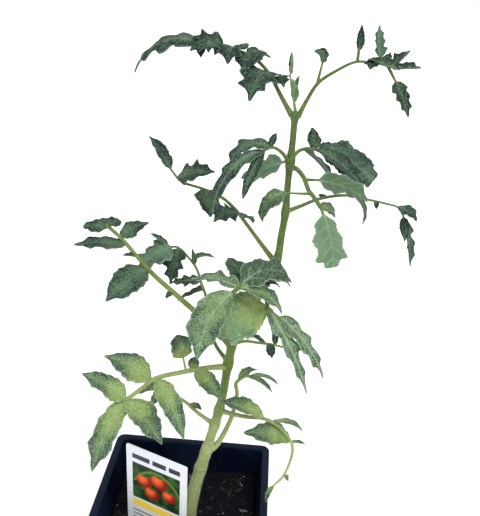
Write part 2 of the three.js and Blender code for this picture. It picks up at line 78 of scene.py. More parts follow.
# %% Camera
CAMERA_PLACE = (37.4, -275.6, 363.8)          # millimetres
CAMERA_TURN, CAMERA_DOWN, CAMERA_ROLL = (math.radians(degrees) for degrees in (2.39, 23.48, 3.17))
CAMERA_LENS, SENSOR = 43.26, 36.0             # millimetres
NEAREST, FARTHEST = 0.01, 100                 # metres


def make_camera():
    forward = Vector((-math.sin(CAMERA_TURN) * math.cos(CAMERA_DOWN),
                      math.cos(CAMERA_TURN) * math.cos(CAMERA_DOWN), -math.sin(CAMERA_DOWN)))
    level = Vector((math.cos(CAMERA_TURN), math.sin(CAMERA_TURN), 0))
    upright = level.cross(forward)
    right = math.cos(CAMERA_ROLL) * level + math.sin(CAMERA_ROLL) * upright
    up = math.cos(CAMERA_ROLL) * upright - math.sin(CAMERA_ROLL) * level
    data = bpy.data.cameras.new("camera")
    data.lens, data.sensor_width = CAMERA_LENS, SENSOR
    data.clip_start, data.clip_end = NEAREST, FARTHEST
    camera = bpy.data.objects.new("camera", data)
    bpy.context.scene.collection.objects.link(camera)
    turn = Matrix((right, up, -forward)).transposed().to_4x4()
    camera.matrix_world = Matrix.Translation(Vector(CAMERA_PLACE) * MM) @ turn
    bpy.context.scene.camera = camera
    return camera


camera = make_camera()
print("camera at", [round(x, 3) for x in camera.location])

# %% [markdown]
# ## Writing materials as sums
#
# A leaf's colour depends on many things at once: how near the midrib a point is,
# which side of the blade it is on, how close it is to the edge. In the node editor
# each of those is a chain of Math nodes. Here a small class stands for one socket,
# so that a chain can be written as an ordinary sum, and one method makes every
# other node.

# %% A socket that can be added and multiplied
class Wire:
    """One output socket of a material; sums on it add Math nodes."""

    def __init__(self, paint, socket):
        self.paint, self.socket = paint, socket

    def math(self, operation, *others, first=None):
        values = [self, *others] if first is None else [first, self]
        return self.paint.node("ShaderNodeMath", {"operation": operation}, dict(enumerate(values)))

    def __add__(self, other):
        return self.math("ADD", other)

    def __sub__(self, other):
        return self.math("SUBTRACT", other)

    def __rsub__(self, other):
        return self.math("SUBTRACT", first=other)

    def __mul__(self, other):
        return self.math("MULTIPLY", other)

    def __truediv__(self, other):
        return self.math("DIVIDE", other)

    def __pow__(self, other):
        return self.math("POWER", other)

    def __abs__(self):
        return self.math("ABSOLUTE")

    __radd__ = __add__
    __rmul__ = __mul__

    def rise(self, low, high):
        """0 below low, 1 above high, and a soft step between them."""
        return self.paint.node("ShaderNodeMapRange", {"interpolation_type": "SMOOTHSTEP"},
                               {"Value": self, "From Min": low, "From Max": high})

    def within(self, low, high, soft):
        """1 between low and high, 0 outside."""
        return self.rise(low - soft, low + soft) * (1 - self.rise(high - soft, high + soft))


print("a wire can be added, multiplied and raised")

# %% A material that is written as sums
MIX_SHARE, MIX_FROM, MIX_TO, MIXED = 0, 6, 7, 2       # places of a Mix node's sockets for colours


class Paint:
    """One material round a Principled shader; its fixed values are set on the shader's own sockets."""

    def __init__(self, name, fixed):
        self.material = bpy.data.materials.new(name)
        self.material.use_nodes = True
        self.tree = self.material.node_tree
        self.shader = self.tree.nodes["Principled BSDF"]
        for socket, value in fixed.items():
            self.shader.inputs[socket].default_value = value

    def node(self, kind, settings=None, sockets=None, out=0):
        made = self.tree.nodes.new(kind)
        for key, value in (settings or {}).items():
            setattr(made, key, value)
        for key, value in (sockets or {}).items():
            self.feed(made.inputs[key], value)
        return Wire(self, made.outputs[out])

    def feed(self, socket, value):
        if isinstance(value, Wire):
            self.tree.links.new(value.socket, socket)
        elif isinstance(value, tuple) and len(value) == 3 and len(socket.default_value) == 4:
            socket.default_value = (*value, 1)
        else:
            socket.default_value = value

    def set(self, socket, value):
        self.feed(self.shader.inputs[socket], value)

    def mix(self, share, start, end):
        """One colour, going over to another as share goes from 0 to 1."""
        sockets = {MIX_SHARE: share, MIX_FROM: start, MIX_TO: end}
        return self.node("ShaderNodeMix", {"data_type": "RGBA"}, sockets, out=MIXED)

    def place(self):
        return self.node("ShaderNodeTexCoord", out="Object")

    def drawn_out(self, where, share):
        """Coordinates that stretch a pattern upwards; share is how far Z still counts."""
        return self.node("ShaderNodeMapping", None, {"Vector": where, "Scale": (1.0, 1.0, share)})

    def split(self, vector):
        made = self.node("ShaderNodeSeparateXYZ", sockets={0: vector})
        return [Wire(self, socket) for socket in made.socket.node.outputs]

    def noise(self, where, scale, detail=3.0, roughness=0.55):
        return self.node("ShaderNodeTexNoise", None,
                         {"Vector": where, "Scale": scale, "Detail": detail, "Roughness": roughness})

    def cells(self, where, scale):
        """How far a point is from the walls of a net of cells."""
        return self.node("ShaderNodeTexVoronoi", {"feature": "DISTANCE_TO_EDGE"},
                         {"Vector": where, "Scale": scale})

    def attribute(self, name):
        return self.node("ShaderNodeAttribute", {"attribute_name": name}, out="Fac")

    def bump(self, height, strength, distance):
        sockets = {"Height": height, "Strength": strength, "Distance": distance}
        self.set("Normal", self.node("ShaderNodeBump", None, sockets))


print("materials can now be written as sums")

# %% [markdown]
# ## The leaf's finish
#
# A tomato leaf is matt and soft green above, with a pale midrib and sunken veins,
# and pale grey-green below, with raised ones. Young leaves at the top are dark and
# bluish, while the old ones near the soil turn yellow-green, most of all where the
# leaflets meet their stalk. Down that is too fine to model makes the skin and the
# rim paler, and a painted sheen of light on it frosts them. The pattern has to follow
# each leaflet, so every blade carries its own map: the way across and the way along,
# both as shares of the leaflet's length. Values painted on its points say how plainly
# veined and how yellow it is, and how light: its own tone, with painted shade on
# leaflets that lie in shadow and a painted glow on leaflets that light shines through.
# One function paints both kinds of leaf, because only the colours differ.

# %% Leaf material
VEIN_PAIRS = 5.0                # side veins on each half of a blade
VEIN_SLANT = 0.75               # how far they run forward on their way out
NET_CELLS = 24.0                # cells of the fine net of veins, along a leaflet
RIB_EDGE = (0.01, 0.032)        # where the midrib's colour fades out, in shares of the length
RIM_START = (0.86, 0.98)        # where the pale rim of down with its painted sheen begins, in shares of the half width
PATCHES, MOTTLE, FRECKLES = 130.0, 1300.0, 1700.0       # scales of the patterns, from coarse to fine
DOWN_AND_SHEEN = (0.5, 0.56, 0.48)       # colour of the finest down, with a painted sheen of light on it


def leaf_paint(name, deep, bright, under, vein, hub, hub_reach):
    p = Paint(name, {"Specular IOR Level": 0.14})
    where = p.place()
    chart = p.node("ShaderNodeUVMap", {"uv_map": "blade"})
    across, along, _ = p.split(chart)
    out = abs(across - 0.5)
    phase = (along - out * VEIN_SLANT) * VEIN_PAIRS
    to_vein = 0.5 - abs(phase.math("FRACT") - 0.5)
    rib = (1 - (out * (1 + along * 1.2)).rise(*RIB_EDGE)) * (1 - along * 0.45)
    side_vein = (1 - to_vein.rise(0.02, 0.14)) * (1 - out.rise(0.12, 0.3))
    net = 1 - p.cells(chart, NET_CELLS).rise(0.02, 0.22)
    patches = p.noise(where, PATCHES).rise(0.36, 0.66)
    mottle = p.noise(where, MOTTLE, 4.0, 0.7).rise(0.36, 0.64)
    freckles = p.noise(where, FRECKLES, 2.0).rise(0.52, 0.68)
    # the first of these values is each leaflet's own tone together with painted shade or a painted glow
    tone_and_lighting, veined, ripe, below, to_edge = (
        p.attribute(value) for value in ("tone_and_lighting", "veined", "ripe", "under", "edge"))
    rim = to_edge.rise(*RIM_START)
    # pale down with a painted sheen of light on it; the midrib also takes this pale colour
    pale_down_and_sheen = p.mix(0.35, vein, DOWN_AND_SHEEN)

    # the middle of each leaflet and the part near its stalk are painted lighter and the edge darker, a
    # painted glow and shade; the same middle also takes the yellowing below
    middle_for_glow_and_yellow = (1 - to_edge.rise(0.12, 0.88)) * 0.65 + (1 - along.rise(hub_reach, 0.95)) * 0.35
    lightness = (tone_and_lighting * 0.5 + middle_for_glow_and_yellow * 0.7 + patches * 0.4 + mottle * 0.6 - 0.715).math("MINIMUM", 1.0)
    upper = p.mix(lightness.math("MAXIMUM", 0.0), deep, bright)
    near_hub = 1 - along.rise(hub_reach, hub_reach + 0.6)
    yellowing = (middle_for_glow_and_yellow * 0.4 + near_hub * 0.6).rise(0.25, 0.85) * (0.4 + mottle * 0.6) * ripe
    upper = p.mix(yellowing, upper, hub)
    upper = p.mix(net * mottle * (veined * 0.5 + 0.15), upper, vein)
    upper = p.mix(side_vein * 0.5 * veined, upper, vein)
    upper = p.mix(rib * (veined * 0.8 + 0.12), upper, p.mix(ripe * 0.6, pale_down_and_sheen, hub))

    lower = p.mix(patches * 0.3 + mottle * 0.3, under, bright)
    lower = p.mix((side_vein * 0.35).math("MAXIMUM", rib * 0.6), lower, vein)
    colour = p.mix(below, upper, lower)
    # freckles and the rim: pale down with a painted sheen of light on it
    colour = p.mix(freckles * (veined * 0.25 + 0.13) + rim * (veined * 0.5 + 0.2), colour, pale_down_and_sheen)
    p.set("Base Color", colour)
    p.set("Roughness", 0.62 - patches * 0.1 - net * 0.05)
    relief = mottle * 0.8 + freckles * 0.3 - net * 0.5 - side_vein * 0.6 - rib * 0.5
    p.bump(relief, 0.9, 0.0004)
    return p.material


leaf_dark = leaf_paint("dark leaf", deep=(0.002, 0.015, 0.012), bright=(0.118, 0.208, 0.13),
                       under=(0.14, 0.238, 0.15), vein=(0.195, 0.305, 0.2), hub=(0.1, 0.17, 0.06),
                       hub_reach=0.1)
leaf_light = leaf_paint("light leaf", deep=(0.018, 0.052, 0.03), bright=(0.19, 0.308, 0.15),
                        under=(0.125, 0.215, 0.128), vein=(0.34, 0.47, 0.29), hub=(0.36, 0.47, 0.12),
                        hub_reach=0.15)
print("leaf materials:", leaf_dark.name, leaf_light.name)

# %% [markdown]
# ## The finish of stem and hairs
#
# The stem is a smooth, slightly ribbed green rod: olive and a little woody at the
# foot, fresher towards the top, with long faint streaks and one brown ring where a
# leaf has fallen. Noise that is stretched along the stem gives the streaks. What
# makes it look like a tomato stem is its coat of short pale hairs, so they are real
# geometry with a plain pale finish.

# %% Stem and hair materials
EARTHY, GREENING, YOUNG = (0.074, 0.1), (0.135, 0.17), (0.22, 0.28)     # where colours change, metres
LEAF_SCAR, SCAR_HALF, SCAR_SOFT = 0.1125, 0.0004, 0.0003                # a fallen leaf's ring, metres
OLD_SKIN, OLD_STREAK, OLD_BLOTCH = (0.24, 0.29, 0.1), (0.36, 0.43, 0.2), (0.14, 0.18, 0.06)
NEW_SKIN, NEW_STREAK, NEW_BLOTCH = (0.08, 0.132, 0.009), (0.12, 0.18, 0.036), (0.035, 0.065, 0.015)
TOP_SKIN, EARTH_STAIN, SCAR_BROWN = (0.045, 0.085, 0.01), (0.2, 0.2, 0.1), (0.09, 0.065, 0.03)


def stem_paint():
    p = Paint("hairy green stem", {"Specular IOR Level": 0.3})
    where = p.place()
    height = p.split(where)[2]
    streaks = p.noise(p.drawn_out(where, 0.12), 1400.0, 2.0).rise(0.38, 0.66)
    blotches = p.noise(where, 160.0).rise(0.42, 0.7)
    up = height.rise(*GREENING) * (1 - p.attribute("ripe") * 0.75)
    colour = p.mix(up, OLD_SKIN, p.mix(height.rise(*YOUNG), NEW_SKIN, TOP_SKIN))
    colour = p.mix(streaks * 0.5, colour, p.mix(up, OLD_STREAK, NEW_STREAK))
    colour = p.mix(blotches * 0.4, colour, p.mix(up, OLD_BLOTCH, NEW_BLOTCH))
    colour = p.mix((1 - height.rise(*EARTHY)) * 0.4, colour, EARTH_STAIN)
    uneven = height + blotches * 0.0006
    scar = uneven.within(LEAF_SCAR - SCAR_HALF, LEAF_SCAR + SCAR_HALF, SCAR_SOFT)
    p.set("Base Color", p.mix(scar * 0.6, colour, SCAR_BROWN))
    p.set("Roughness", 0.5 + blotches * 0.12)
    p.bump(streaks + blotches * 0.4, 0.3, 0.0002)
    return p.material


def hair_paint():
    p = Paint("pale plant hair", {"Specular IOR Level": 0.3, "Roughness": 0.45})
    tint = p.noise(p.place(), 700.0, 1.0)
    p.set("Base Color", p.mix(tint, (0.4, 0.48, 0.34), (0.66, 0.72, 0.6)))
    return p.material


green_stem = stem_paint()
plant_hair = hair_paint()
print("stem and hair materials made")

# %% [markdown]
# ## Building trees of nodes in code
#
# Stalks, hairs and crumbs all repeat, or follow a path or a surface, so they are
# made with Geometry Nodes. A small class keeps the trees short: it makes the group
# with its named inputs, and adds a node by its type with its settings and sockets.
# Its other methods are what several trees need: scattered points, random sizes and
# turns, and the real faces with a material that each tree ends in. A second helper
# puts a tree on an object, sets its inputs by their identifiers and turns what comes
# out into a plain mesh.

# %% A helper for geometry trees
RANDOM_LOW, RANDOM_HIGH, RANDOM_NUMBER = 2, 3, 1      # places of a Random Value node's number sockets


class Tree:
    """A geometry node group with a material and named inputs, each (name, kind of socket, default)."""

    def __init__(self, name, inputs):
        self.group = bpy.data.node_groups.new(name, "GeometryNodeTree")
        face = self.group.interface
        face.new_socket("Geometry", in_out="INPUT", socket_type="NodeSocketGeometry")
        for label, kind, default in [*inputs, ("Material", "Material", None)]:
            made = face.new_socket(label, in_out="INPUT", socket_type=f"NodeSocket{kind}")
            if default is not None:
                made.default_value = default
        face.new_socket("Geometry", in_out="OUTPUT", socket_type="NodeSocketGeometry")
        self.given = self.group.nodes.new("NodeGroupInput").outputs
        self.result = self.group.nodes.new("NodeGroupOutput").inputs

    def add(self, kind, settings=None, sockets=None):
        made = self.group.nodes.new(kind)
        for key, value in (settings or {}).items():
            setattr(made, key, value)
        for key, value in (sockets or {}).items():
            self.link(made.inputs[key], value)
        return made.outputs

    def link(self, socket, value):
        if isinstance(value, list):
            for one in value:
                self.group.links.new(one, socket)
        elif isinstance(value, bpy.types.NodeSocket):
            self.group.links.new(value, socket)
        else:
            socket.default_value = value

    def math(self, operation, a, b):
        return self.add("ShaderNodeMath", {"operation": operation}, {0: a, 1: b})[0]

    def times(self, a, b):
        return self.math("MULTIPLY", a, b)

    def vector(self, x, y, z):
        return self.add("ShaderNodeCombineXYZ", None, {0: x, 1: y, 2: z})[0]

    def attribute(self, name):
        return self.add("GeometryNodeInputNamedAttribute", {"data_type": "FLOAT"}, {"Name": name})[0]

    def spots(self, per_square_metre, share):
        """Points scattered over the faces, fewer where the share is low."""
        return self.add("GeometryNodeDistributePointsOnFaces", None, {
            "Mesh": self.given["Geometry"], "Density": self.times(per_square_metre, share),
            "Seed": self.given["Seed"]})

    def random_number(self, low, high):
        return self.add("FunctionNodeRandomValue", {"data_type": "FLOAT"}, {
            RANDOM_LOW: low, RANDOM_HIGH: high, "Seed": self.given["Seed"]})[RANDOM_NUMBER]

    def random_turn(self, tilt, spin):
        """A turn for each point: up to tilt about X and Y, and up to spin about Z."""
        least = self.times(tilt, -1.0)
        angles = self.add("FunctionNodeRandomValue", {"data_type": "FLOAT_VECTOR"}, {
            "Min": self.vector(least, least, -spin), "Max": self.vector(tilt, tilt, spin),
            "Seed": self.given["Seed"]})[0]
        return self.add("FunctionNodeEulerToRotation", None, {0: angles})[0]

    def real(self, shapes):
        """Real faces with the given material, in place of instances."""
        faces = self.add("GeometryNodeRealizeInstances", None, {"Geometry": shapes})[0]
        return self.add("GeometryNodeSetMaterial", None, {
            "Geometry": faces, "Material": self.given["Material"]})[0]


print("a tree ends in real faces with a material")

# %% Growing a mesh from a tree
def grown(obj, tree, values):
    """The plain mesh that a tree makes of an object; the object itself is used up."""
    modifier = obj.modifiers.new("grow", "NODES")
    modifier.node_group = tree.group
    for item in tree.group.interface.items_tree:
        if item.in_out == "INPUT" and item.name in values:
            modifier[item.identifier] = values[item.name]
    ready = obj.evaluated_get(bpy.context.evaluated_depsgraph_get())
    mesh = bpy.data.meshes.new_from_object(ready)
    bpy.data.objects.remove(obj)
    return mesh


def show(mesh, name):
    obj = bpy.data.objects.new(name, mesh)
    bpy.context.scene.collection.objects.link(obj)
    return obj


print("tree helpers ready")

# %% [markdown]
# ## Stalks that follow a path
#
# The real stem is a round, tapering rod with swollen knuckles where leaves spring.
# Lofting circles by hand would work, but a stalk is exactly what Curve to Mesh is
# for: a profile carried along a path. The path's points carry their radius, and the
# profile is a circle whose wall swells into a few soft ridges, as a tomato stem's
# does. The same tree makes the thick stem and the thinnest leaf stalk.

# %% Smooth routes and the stalk tree
def smooth_route(points, per_span):
    """A curve through the points (Catmull-Rom), and the share of its length at each step."""
    p = np.array(points, float)
    p = np.vstack([2 * p[0] - p[1], p, 2 * p[-1] - p[-2]])
    t = np.linspace(0, 1, per_span, endpoint=False)[:, None]
    spans = [0.5 * (2 * b + (c - a) * t + (2 * a - 5 * b + 4 * c - d) * t**2
                    + (3 * b - a - 3 * c + d) * t**3)
             for a, b, c, d in zip(p[:-3], p[1:-2], p[2:-1], p[3:])]
    fine = np.vstack([*spans, p[-2:-1]])
    reach = np.r_[0, np.cumsum(np.linalg.norm(np.diff(fine, axis=0), axis=1))]
    return fine, reach / reach[-1]


def point_at(route, share):
    fine, shares = route
    return np.array([np.interp(share, shares, fine[:, k]) for k in range(3)])


def stalk_tree():
    tree = Tree("stalk", [("Sides", "Int", 12), ("Ridges", "Float", 5.0), ("Ridge depth", "Float", 0.05)])
    given, thick = tree.given, tree.attribute("thick")
    path = tree.add("GeometryNodeMeshToCurve", None, {0: given["Geometry"]})[0]
    path = tree.add("GeometryNodeSetCurveRadius", None, {"Curve": path, "Radius": thick})[0]
    circle = tree.add("GeometryNodeCurvePrimitiveCircle", None, {
        "Resolution": given["Sides"], "Radius": 1.0})[0]
    way_round = tree.add("GeometryNodeSplineParameter")["Factor"]
    turns = tree.times(tree.times(way_round, given["Ridges"]), math.tau)
    swell = tree.times(tree.math("SINE", turns, 0.0), given["Ridge depth"])
    here = tree.add("GeometryNodeInputPosition")[0]
    shift = tree.add("ShaderNodeVectorMath", {"operation": "SCALE"}, {0: here, "Scale": swell})[0]
    profile = tree.add("GeometryNodeSetPosition", None, {"Geometry": circle, "Offset": shift})[0]
    skin = tree.add("GeometryNodeCurveToMesh", None, {
        "Curve": path, "Profile Curve": profile, "Scale": thick, "Fill Caps": True})[0]
    skin = tree.add("GeometryNodeSetShadeSmooth", None, {"Geometry": skin})[0]
    tree.link(tree.result["Geometry"], tree.real(skin))
    return tree


STALK = stalk_tree()


def stalk(points, radii, sides, depth=0.05):
    """Mesh of a stalk along points (mm), with a radius (mm) for each of them."""
    mesh = bpy.data.meshes.new("path")
    mesh.from_pydata(np.asarray(points) * MM, [(i, i + 1) for i in range(len(points) - 1)], [])
    mesh.attributes.new("thick", "FLOAT", "POINT").data.foreach_set("value", np.asarray(radii) * MM)
    path = show(mesh, "path")
    return grown(path, STALK, {"Sides": sides, "Ridge depth": depth, "Material": green_stem})


trial = stalk([(0, 0, 0), (0, 0, 5), (0, 1, 10)], [1.0, 1.0, 0.5], 8)
print("a short stalk has", len(trial.polygons), "faces, reach", max(v.co.x for v in trial.vertices))

# %% [markdown]
# ## The stem
#
# The route and the radii are the ones that the solid stem was made from, in
# millimetres. It leans to the right from the soil and stands upright higher up.
# Each knuckle is a smooth bump in the radius, so a table of heights and sizes is
# all it needs.

# %% Stem
STEM_ROUTE = [
    (3, 1, 30), (4, 0, 73), (7, 0, 97), (14, 0, 129), (20, 0, 158), (23, -1, 185), (26, -1, 203),
    (34, -1, 221), (40, 0, 234), (44, 0, 245), (45, 0, 257), (46, 0, 269), (46, 0, 285),
    (46.5, 0.3, 301), (46.6, 0.6, 315.5),
]
STEM_RADIUS = np.array([        # height, radius
    (30, 2.6), (66, 4.0), (76, 3.9), (97, 3.5), (129, 2.7), (158, 2.3), (203, 2.0), (245, 1.8),
    (285, 1.5), (312, 1.4), (315.5, 1.2),
])
KNUCKLES = [                    # height, extra radius, reach
    (112, 0.5, 4), (125, 0.4, 6), (143, 0.6, 5), (153, 0.7, 5), (184, 0.8, 7), (195, 0.6, 6),
    (223, 0.6, 6), (229, 0.6, 6), (243, 0.6, 6), (269, 0.5, 5), (293, 0.9, 6), (314, 0.8, 4),
]
KNUCKLE_FALL = 2.5              # how fast a knuckle falls off towards its reach
STEM_STEPS, STEM_SIDES, STEM_RIDGES = 20, 28, 0.035     # rings per span, faces round, depth of the ridges


def stem_radius(height):
    radius = np.interp(height, STEM_RADIUS[:, 0], STEM_RADIUS[:, 1])
    for centre, extra, reach in KNUCKLES:
        radius = radius + extra * np.exp(-KNUCKLE_FALL * ((height - centre) / reach) ** 2)
    return radius


def add_value(mesh, name, value):
    """One number on every point of a mesh, for the materials and for the hairs."""
    values = np.full(len(mesh.vertices), value, np.float32) if np.isscalar(value) else np.asarray(value)
    mesh.attributes.new(name, "FLOAT", "POINT").data.foreach_set("value", values.ravel())


stem_line, _ = smooth_route(STEM_ROUTE, STEM_STEPS)
stem_mesh = stalk(stem_line, stem_radius(stem_line[:, 2]), STEM_SIDES, STEM_RIDGES)
add_value(stem_mesh, "fuzz", 1.0)
print("stem faces:", len(stem_mesh.polygons))

# %% [markdown]
# ## A leaflet
#
# A tomato leaflet is never a flat oval. It is cut into lobes, each with a few
# forward teeth, the skin puffs up between the side veins, the midrib lies in a
# groove, and the edge rolls down. A subdivided plane with modifiers would hide that
# logic, so the blade is worked out point by point. The midrib sets off in a
# direction and bends down by its droop, and rows of points stand across it. The
# plain numbers are the solid's own: outline, width, fold and roll. Teeth, puffs and
# the rolled edge come on top, all smaller than a millimetre or two.

# %% Outlines and directions
OUTLINES = {                    # way along, half width, how far the edge sweeps forward
    "lobed": [(0, 0.08, 0), (0.1, 0.55, -0.03), (0.24, 0.95, 0.02), (0.34, 0.66, -0.01), (0.48, 1.0, 0.04),
              (0.58, 0.62, 0), (0.72, 0.66, 0.05), (0.82, 0.34, 0), (1, 0.05, 0)],
    "oval": [(0, 0.08, 0), (0.14, 0.62, -0.02), (0.32, 1.0, 0), (0.5, 0.92, 0.01), (0.67, 0.76, 0.03),
             (0.83, 0.4, 0.01), (1, 0.05, 0)],
    "ragged": [(0, 0.07, 0), (0.12, 0.5, 0), (0.3, 0.84, 0), (0.5, 1.0, 0), (0.66, 0.92, 0.03),
               (0.8, 0.94, 0.08), (0.85, 0.6, 0.03), (0.92, 0.5, 0.07), (1, 0.1, 0)],
    "round": [(0, 0.12, 0), (0.14, 0.72, -0.03), (0.36, 1.0, 0), (0.6, 0.92, 0.01), (0.82, 0.58, 0.03),
              (1, 0.1, 0)],
    "lance": [(0, 0.14, 0), (0.2, 0.8, 0), (0.45, 1.0, 0), (0.72, 0.7, 0.02), (1, 0.08, 0)],
}
TEETH = {                       # teeth on each edge, and their depth as a share of the half width
    "lobed": (6, 0.14), "oval": (7, 0.17), "ragged": (11, 0.12), "round": (6, 0.08), "lance": (5, 0.12),
}


def scatter01(a, b=0.0):
    """A steady number in 0..1 for a pair of numbers."""
    s = math.sin(a * 127.1 + b * 311.7 + 74.7) * 43758.5453
    return s - math.floor(s)


def headings(az, el):
    """Unit vectors for compass directions and rises in degrees."""
    az, el = np.broadcast_arrays(np.radians(az), np.radians(el))
    return np.stack([np.cos(az) * np.cos(el), np.sin(az) * np.cos(el), np.sin(el)], -1)


def flowing(x, xs, ys):
    """A smooth curve through the points (xs, ys), read at x."""
    slopes = np.gradient(ys, xs)
    i = np.clip(np.searchsorted(xs, x, side="right") - 1, 0, len(xs) - 2)
    span = xs[i + 1] - xs[i]
    f = (x - xs[i]) / span
    return ((2 * f**3 - 3 * f**2 + 1) * ys[i] + (f**3 - 2 * f**2 + f) * span * slopes[i]
            + (3 * f**2 - 2 * f**3) * ys[i + 1] + (f**3 - f**2) * span * slopes[i + 1])


print("outlines:", ", ".join(OUTLINES))

# %% Edge, midrib and faces
ALONG, RUN_STEPS = 60, 96                       # rows of points, and steps of the midrib's bend
HALF_ROW = np.array([0.1, 0.24, 0.38, 0.52, 0.66, 0.8, 0.91, 0.97, 1.0])
ACROSS = np.r_[-HALF_ROW[::-1], 0, HALF_ROW]    # columns, from edge to edge
LEAST_HALF = 0.3                                # smallest half width, in millimetres
UNEVEN = 0.2                                    # how much the lobes differ from one another
TOOTH_RISE, TOOTH_FALL = 0.72, 0.28             # long and short flank of a tooth
SMALLEST_TOOTH = 0.4                            # as a share of the largest


def half_width(s, side, rows, kind, width, seed):
    """Half width of one side along the blade, with its lobes and teeth."""
    uneven = np.array([1 + UNEVEN * (scatter01(seed + i, side) - 0.5) for i in range(len(rows))])
    half = np.maximum(flowing(s, rows[:, 0], rows[:, 1] * uneven) * width / 2, LEAST_HALF)
    count, depth = TEETH[kind]
    x = count * s + scatter01(seed, side + 5)
    tooth_no, f = np.floor(x), x - np.floor(x)
    chances = np.array([scatter01(seed + n, side + 9) for n in tooth_no])
    size = SMALLEST_TOOTH + (1 - SMALLEST_TOOTH) * chances
    bump = np.where(f < TOOTH_RISE, f / TOOTH_RISE, (1 - f) / TOOTH_FALL) - 0.5
    fade = np.clip(s * 6, 0, 1) * np.clip((1 - s) * 5, 0, 1)
    return half * (1 + depth * bump * size * fade)


def midrib(s, base, az, el, length, droop, turn):
    """Points at shares s of a midrib that bends down by its droop and aside by its turn."""
    steps = (np.arange(RUN_STEPS) + 0.5) / RUN_STEPS
    run = headings(az + turn * steps, el - droop * steps) * length / RUN_STEPS
    path = np.vstack([base, base + np.cumsum(run, 0)])
    marks = np.arange(RUN_STEPS + 1)
    return np.stack([np.interp(s * RUN_STEPS, marks, path[:, k]) for k in range(3)], -1)


def shell_faces(rows, columns):
    """Faces of an upper and a lower grid of points, and of the rim between the two."""
    grid, deeper = np.arange(rows * columns).reshape(rows, columns), rows * columns
    a, b, c, d = grid[:-1, :-1], grid[1:, :-1], grid[1:, 1:], grid[:-1, 1:]
    upper = np.stack([a, d, c, b], -1).reshape(-1, 4)
    lower = np.stack([a, b, c, d], -1).reshape(-1, 4) + deeper
    ring = np.r_[grid[0, :], grid[1:, -1], grid[-1, -2::-1], grid[-2:0:-1, 0]]
    onward = np.roll(ring, -1)
    rim = np.stack([ring, ring + deeper, onward + deeper, onward], -1)
    return np.concatenate([upper, lower, rim])


print("faces of a blade:", len(shell_faces(ALONG, len(ACROSS))))

# %% One blade
EDGE_THICK, RIB_THICK, RIB_HALF = 0.3, 0.75, 0.6              # millimetres
GROOVE_DEPTH, GROOVE_HALF, VEIN_RIDGE = 0.35, 0.55, 0.12      # millimetres
PUFF, WAVE, RUFFLE = 0.05, 0.05, 0.035                        # heights, as shares of the width
WAVES, RUFFLES = 9, 3.45                                      # radians and turns along the blade
CURL_UP, CURL_RANGE = 0.1, 0.34                               # the edge's curl, and how far down it varies
SKIN_FUZZ, HAIRY_EDGE = 0.12, 0.96                            # hairs on the skin; where the edge starts


def blade(base, az, el, length, width, droop, roll, fold, kind, turn, seed):
    """Points, faces and point values of one leaflet."""
    rows = np.array(OUTLINES[kind])
    s = np.linspace(0, 1, ALONG)
    rib = midrib(s, base, az, el, length, droop, turn)
    ahead = headings(az + turn * s, el - droop * s)
    level = headings(az + turn * s + 90, 0)
    upright = np.cross(ahead, level)
    cos_roll, sin_roll = math.cos(math.radians(roll)), math.sin(math.radians(roll))
    left = (level * cos_roll + upright * sin_roll)[:, None]
    up = (upright * cos_roll - level * sin_roll)[:, None]

    t = np.abs(ACROSS)[None]
    side = np.sign(ACROSS)[None]
    halves = {k: half_width(s, k, rows, kind, width, seed) for k in (1, -1)}
    h = np.where(side < 0, halves[-1][:, None], halves[1][:, None])
    plain = flowing(s, rows[:, 0], rows[:, 1])[:, None]
    s_, lateral = s[:, None], t * h
    vein = (s_ - VEIN_SLANT * lateral / length) * VEIN_PAIRS
    puff = np.sin(np.pi * (vein - np.floor(vein)))
    body = np.clip(s_ * 8, 0, 1) * np.clip((1 - s_) * 6, 0, 1)
    curl = CURL_UP - CURL_RANGE * scatter01(seed, 3)
    wave = WAVE * width * plain * np.sin(WAVES * s_ + seed + side) * t
    ruffle = RUFFLE * width * np.sin(RUFFLES * math.tau * s_ + 2.1 * seed + 2 * side) * t**3 * body
    lift = (lateral * math.sin(math.radians(fold)) + wave + ruffle + curl * h * t**3
            + PUFF * width * (puff - 0.5) * np.sin(np.pi * np.minimum(t * 1.02, 1)) * body
            - GROOVE_DEPTH * np.exp(-(lateral / GROOVE_HALF) ** 2) * body)
    sweep = flowing(s, rows[:, 0], rows[:, 2])[:, None] * t
    spread = side * lateral * math.cos(math.radians(fold))
    top = (rib[:, None] + left * spread[..., None] + up * (lift + EDGE_THICK / 2)[..., None]
           + ahead[:, None] * (sweep * length)[..., None])
    ridge = (RIB_THICK * (1 - 0.6 * s_) * np.exp(-(lateral / RIB_HALF) ** 2)
             + VEIN_RIDGE * (1 - puff) ** 3 * body * (1 - t))
    under = top - up * (EDGE_THICK + ridge)[..., None]

    chart = np.stack([0.5 + side * lateral / length, s_ + 0 * t], -1).reshape(-1, 2)
    edge = (t + 0 * s_).ravel()
    edge_fuzz = (1 - SKIN_FUZZ) * (edge > HAIRY_EDGE) * (1 - 0.3 * s_ + 0 * t).ravel()
    return {
        "points": np.concatenate([top.reshape(-1, 3), under.reshape(-1, 3)]),
        "faces": shell_faces(ALONG, len(ACROSS)), "chart": np.tile(chart, (2, 1)),
        "edge": np.tile(edge, 2), "under": np.repeat([0.0, 1.0], len(edge)),
        "fuzz": SKIN_FUZZ + np.tile(edge_fuzz, 2),
    }


sample = blade(np.zeros(3), 0, 0, 30, 14, 40, 0, 10, "lobed", 0, 1)
print("one blade:", len(sample["points"]), "points,", len(sample["faces"]), "faces")

# %% [markdown]
# ## Hairs
#
# Every green part of a tomato plant is downy: about a millimetre of pale hair on
# the stalks, shorter down along the leaf edges. A particle system could do it, but
# Geometry Nodes keep the result as a mesh and follow the values painted on the
# points. `fuzz` says how hairy a place is, the points are scattered by a fixed
# seed, and each gets a three-sided spike that leans a little at random.

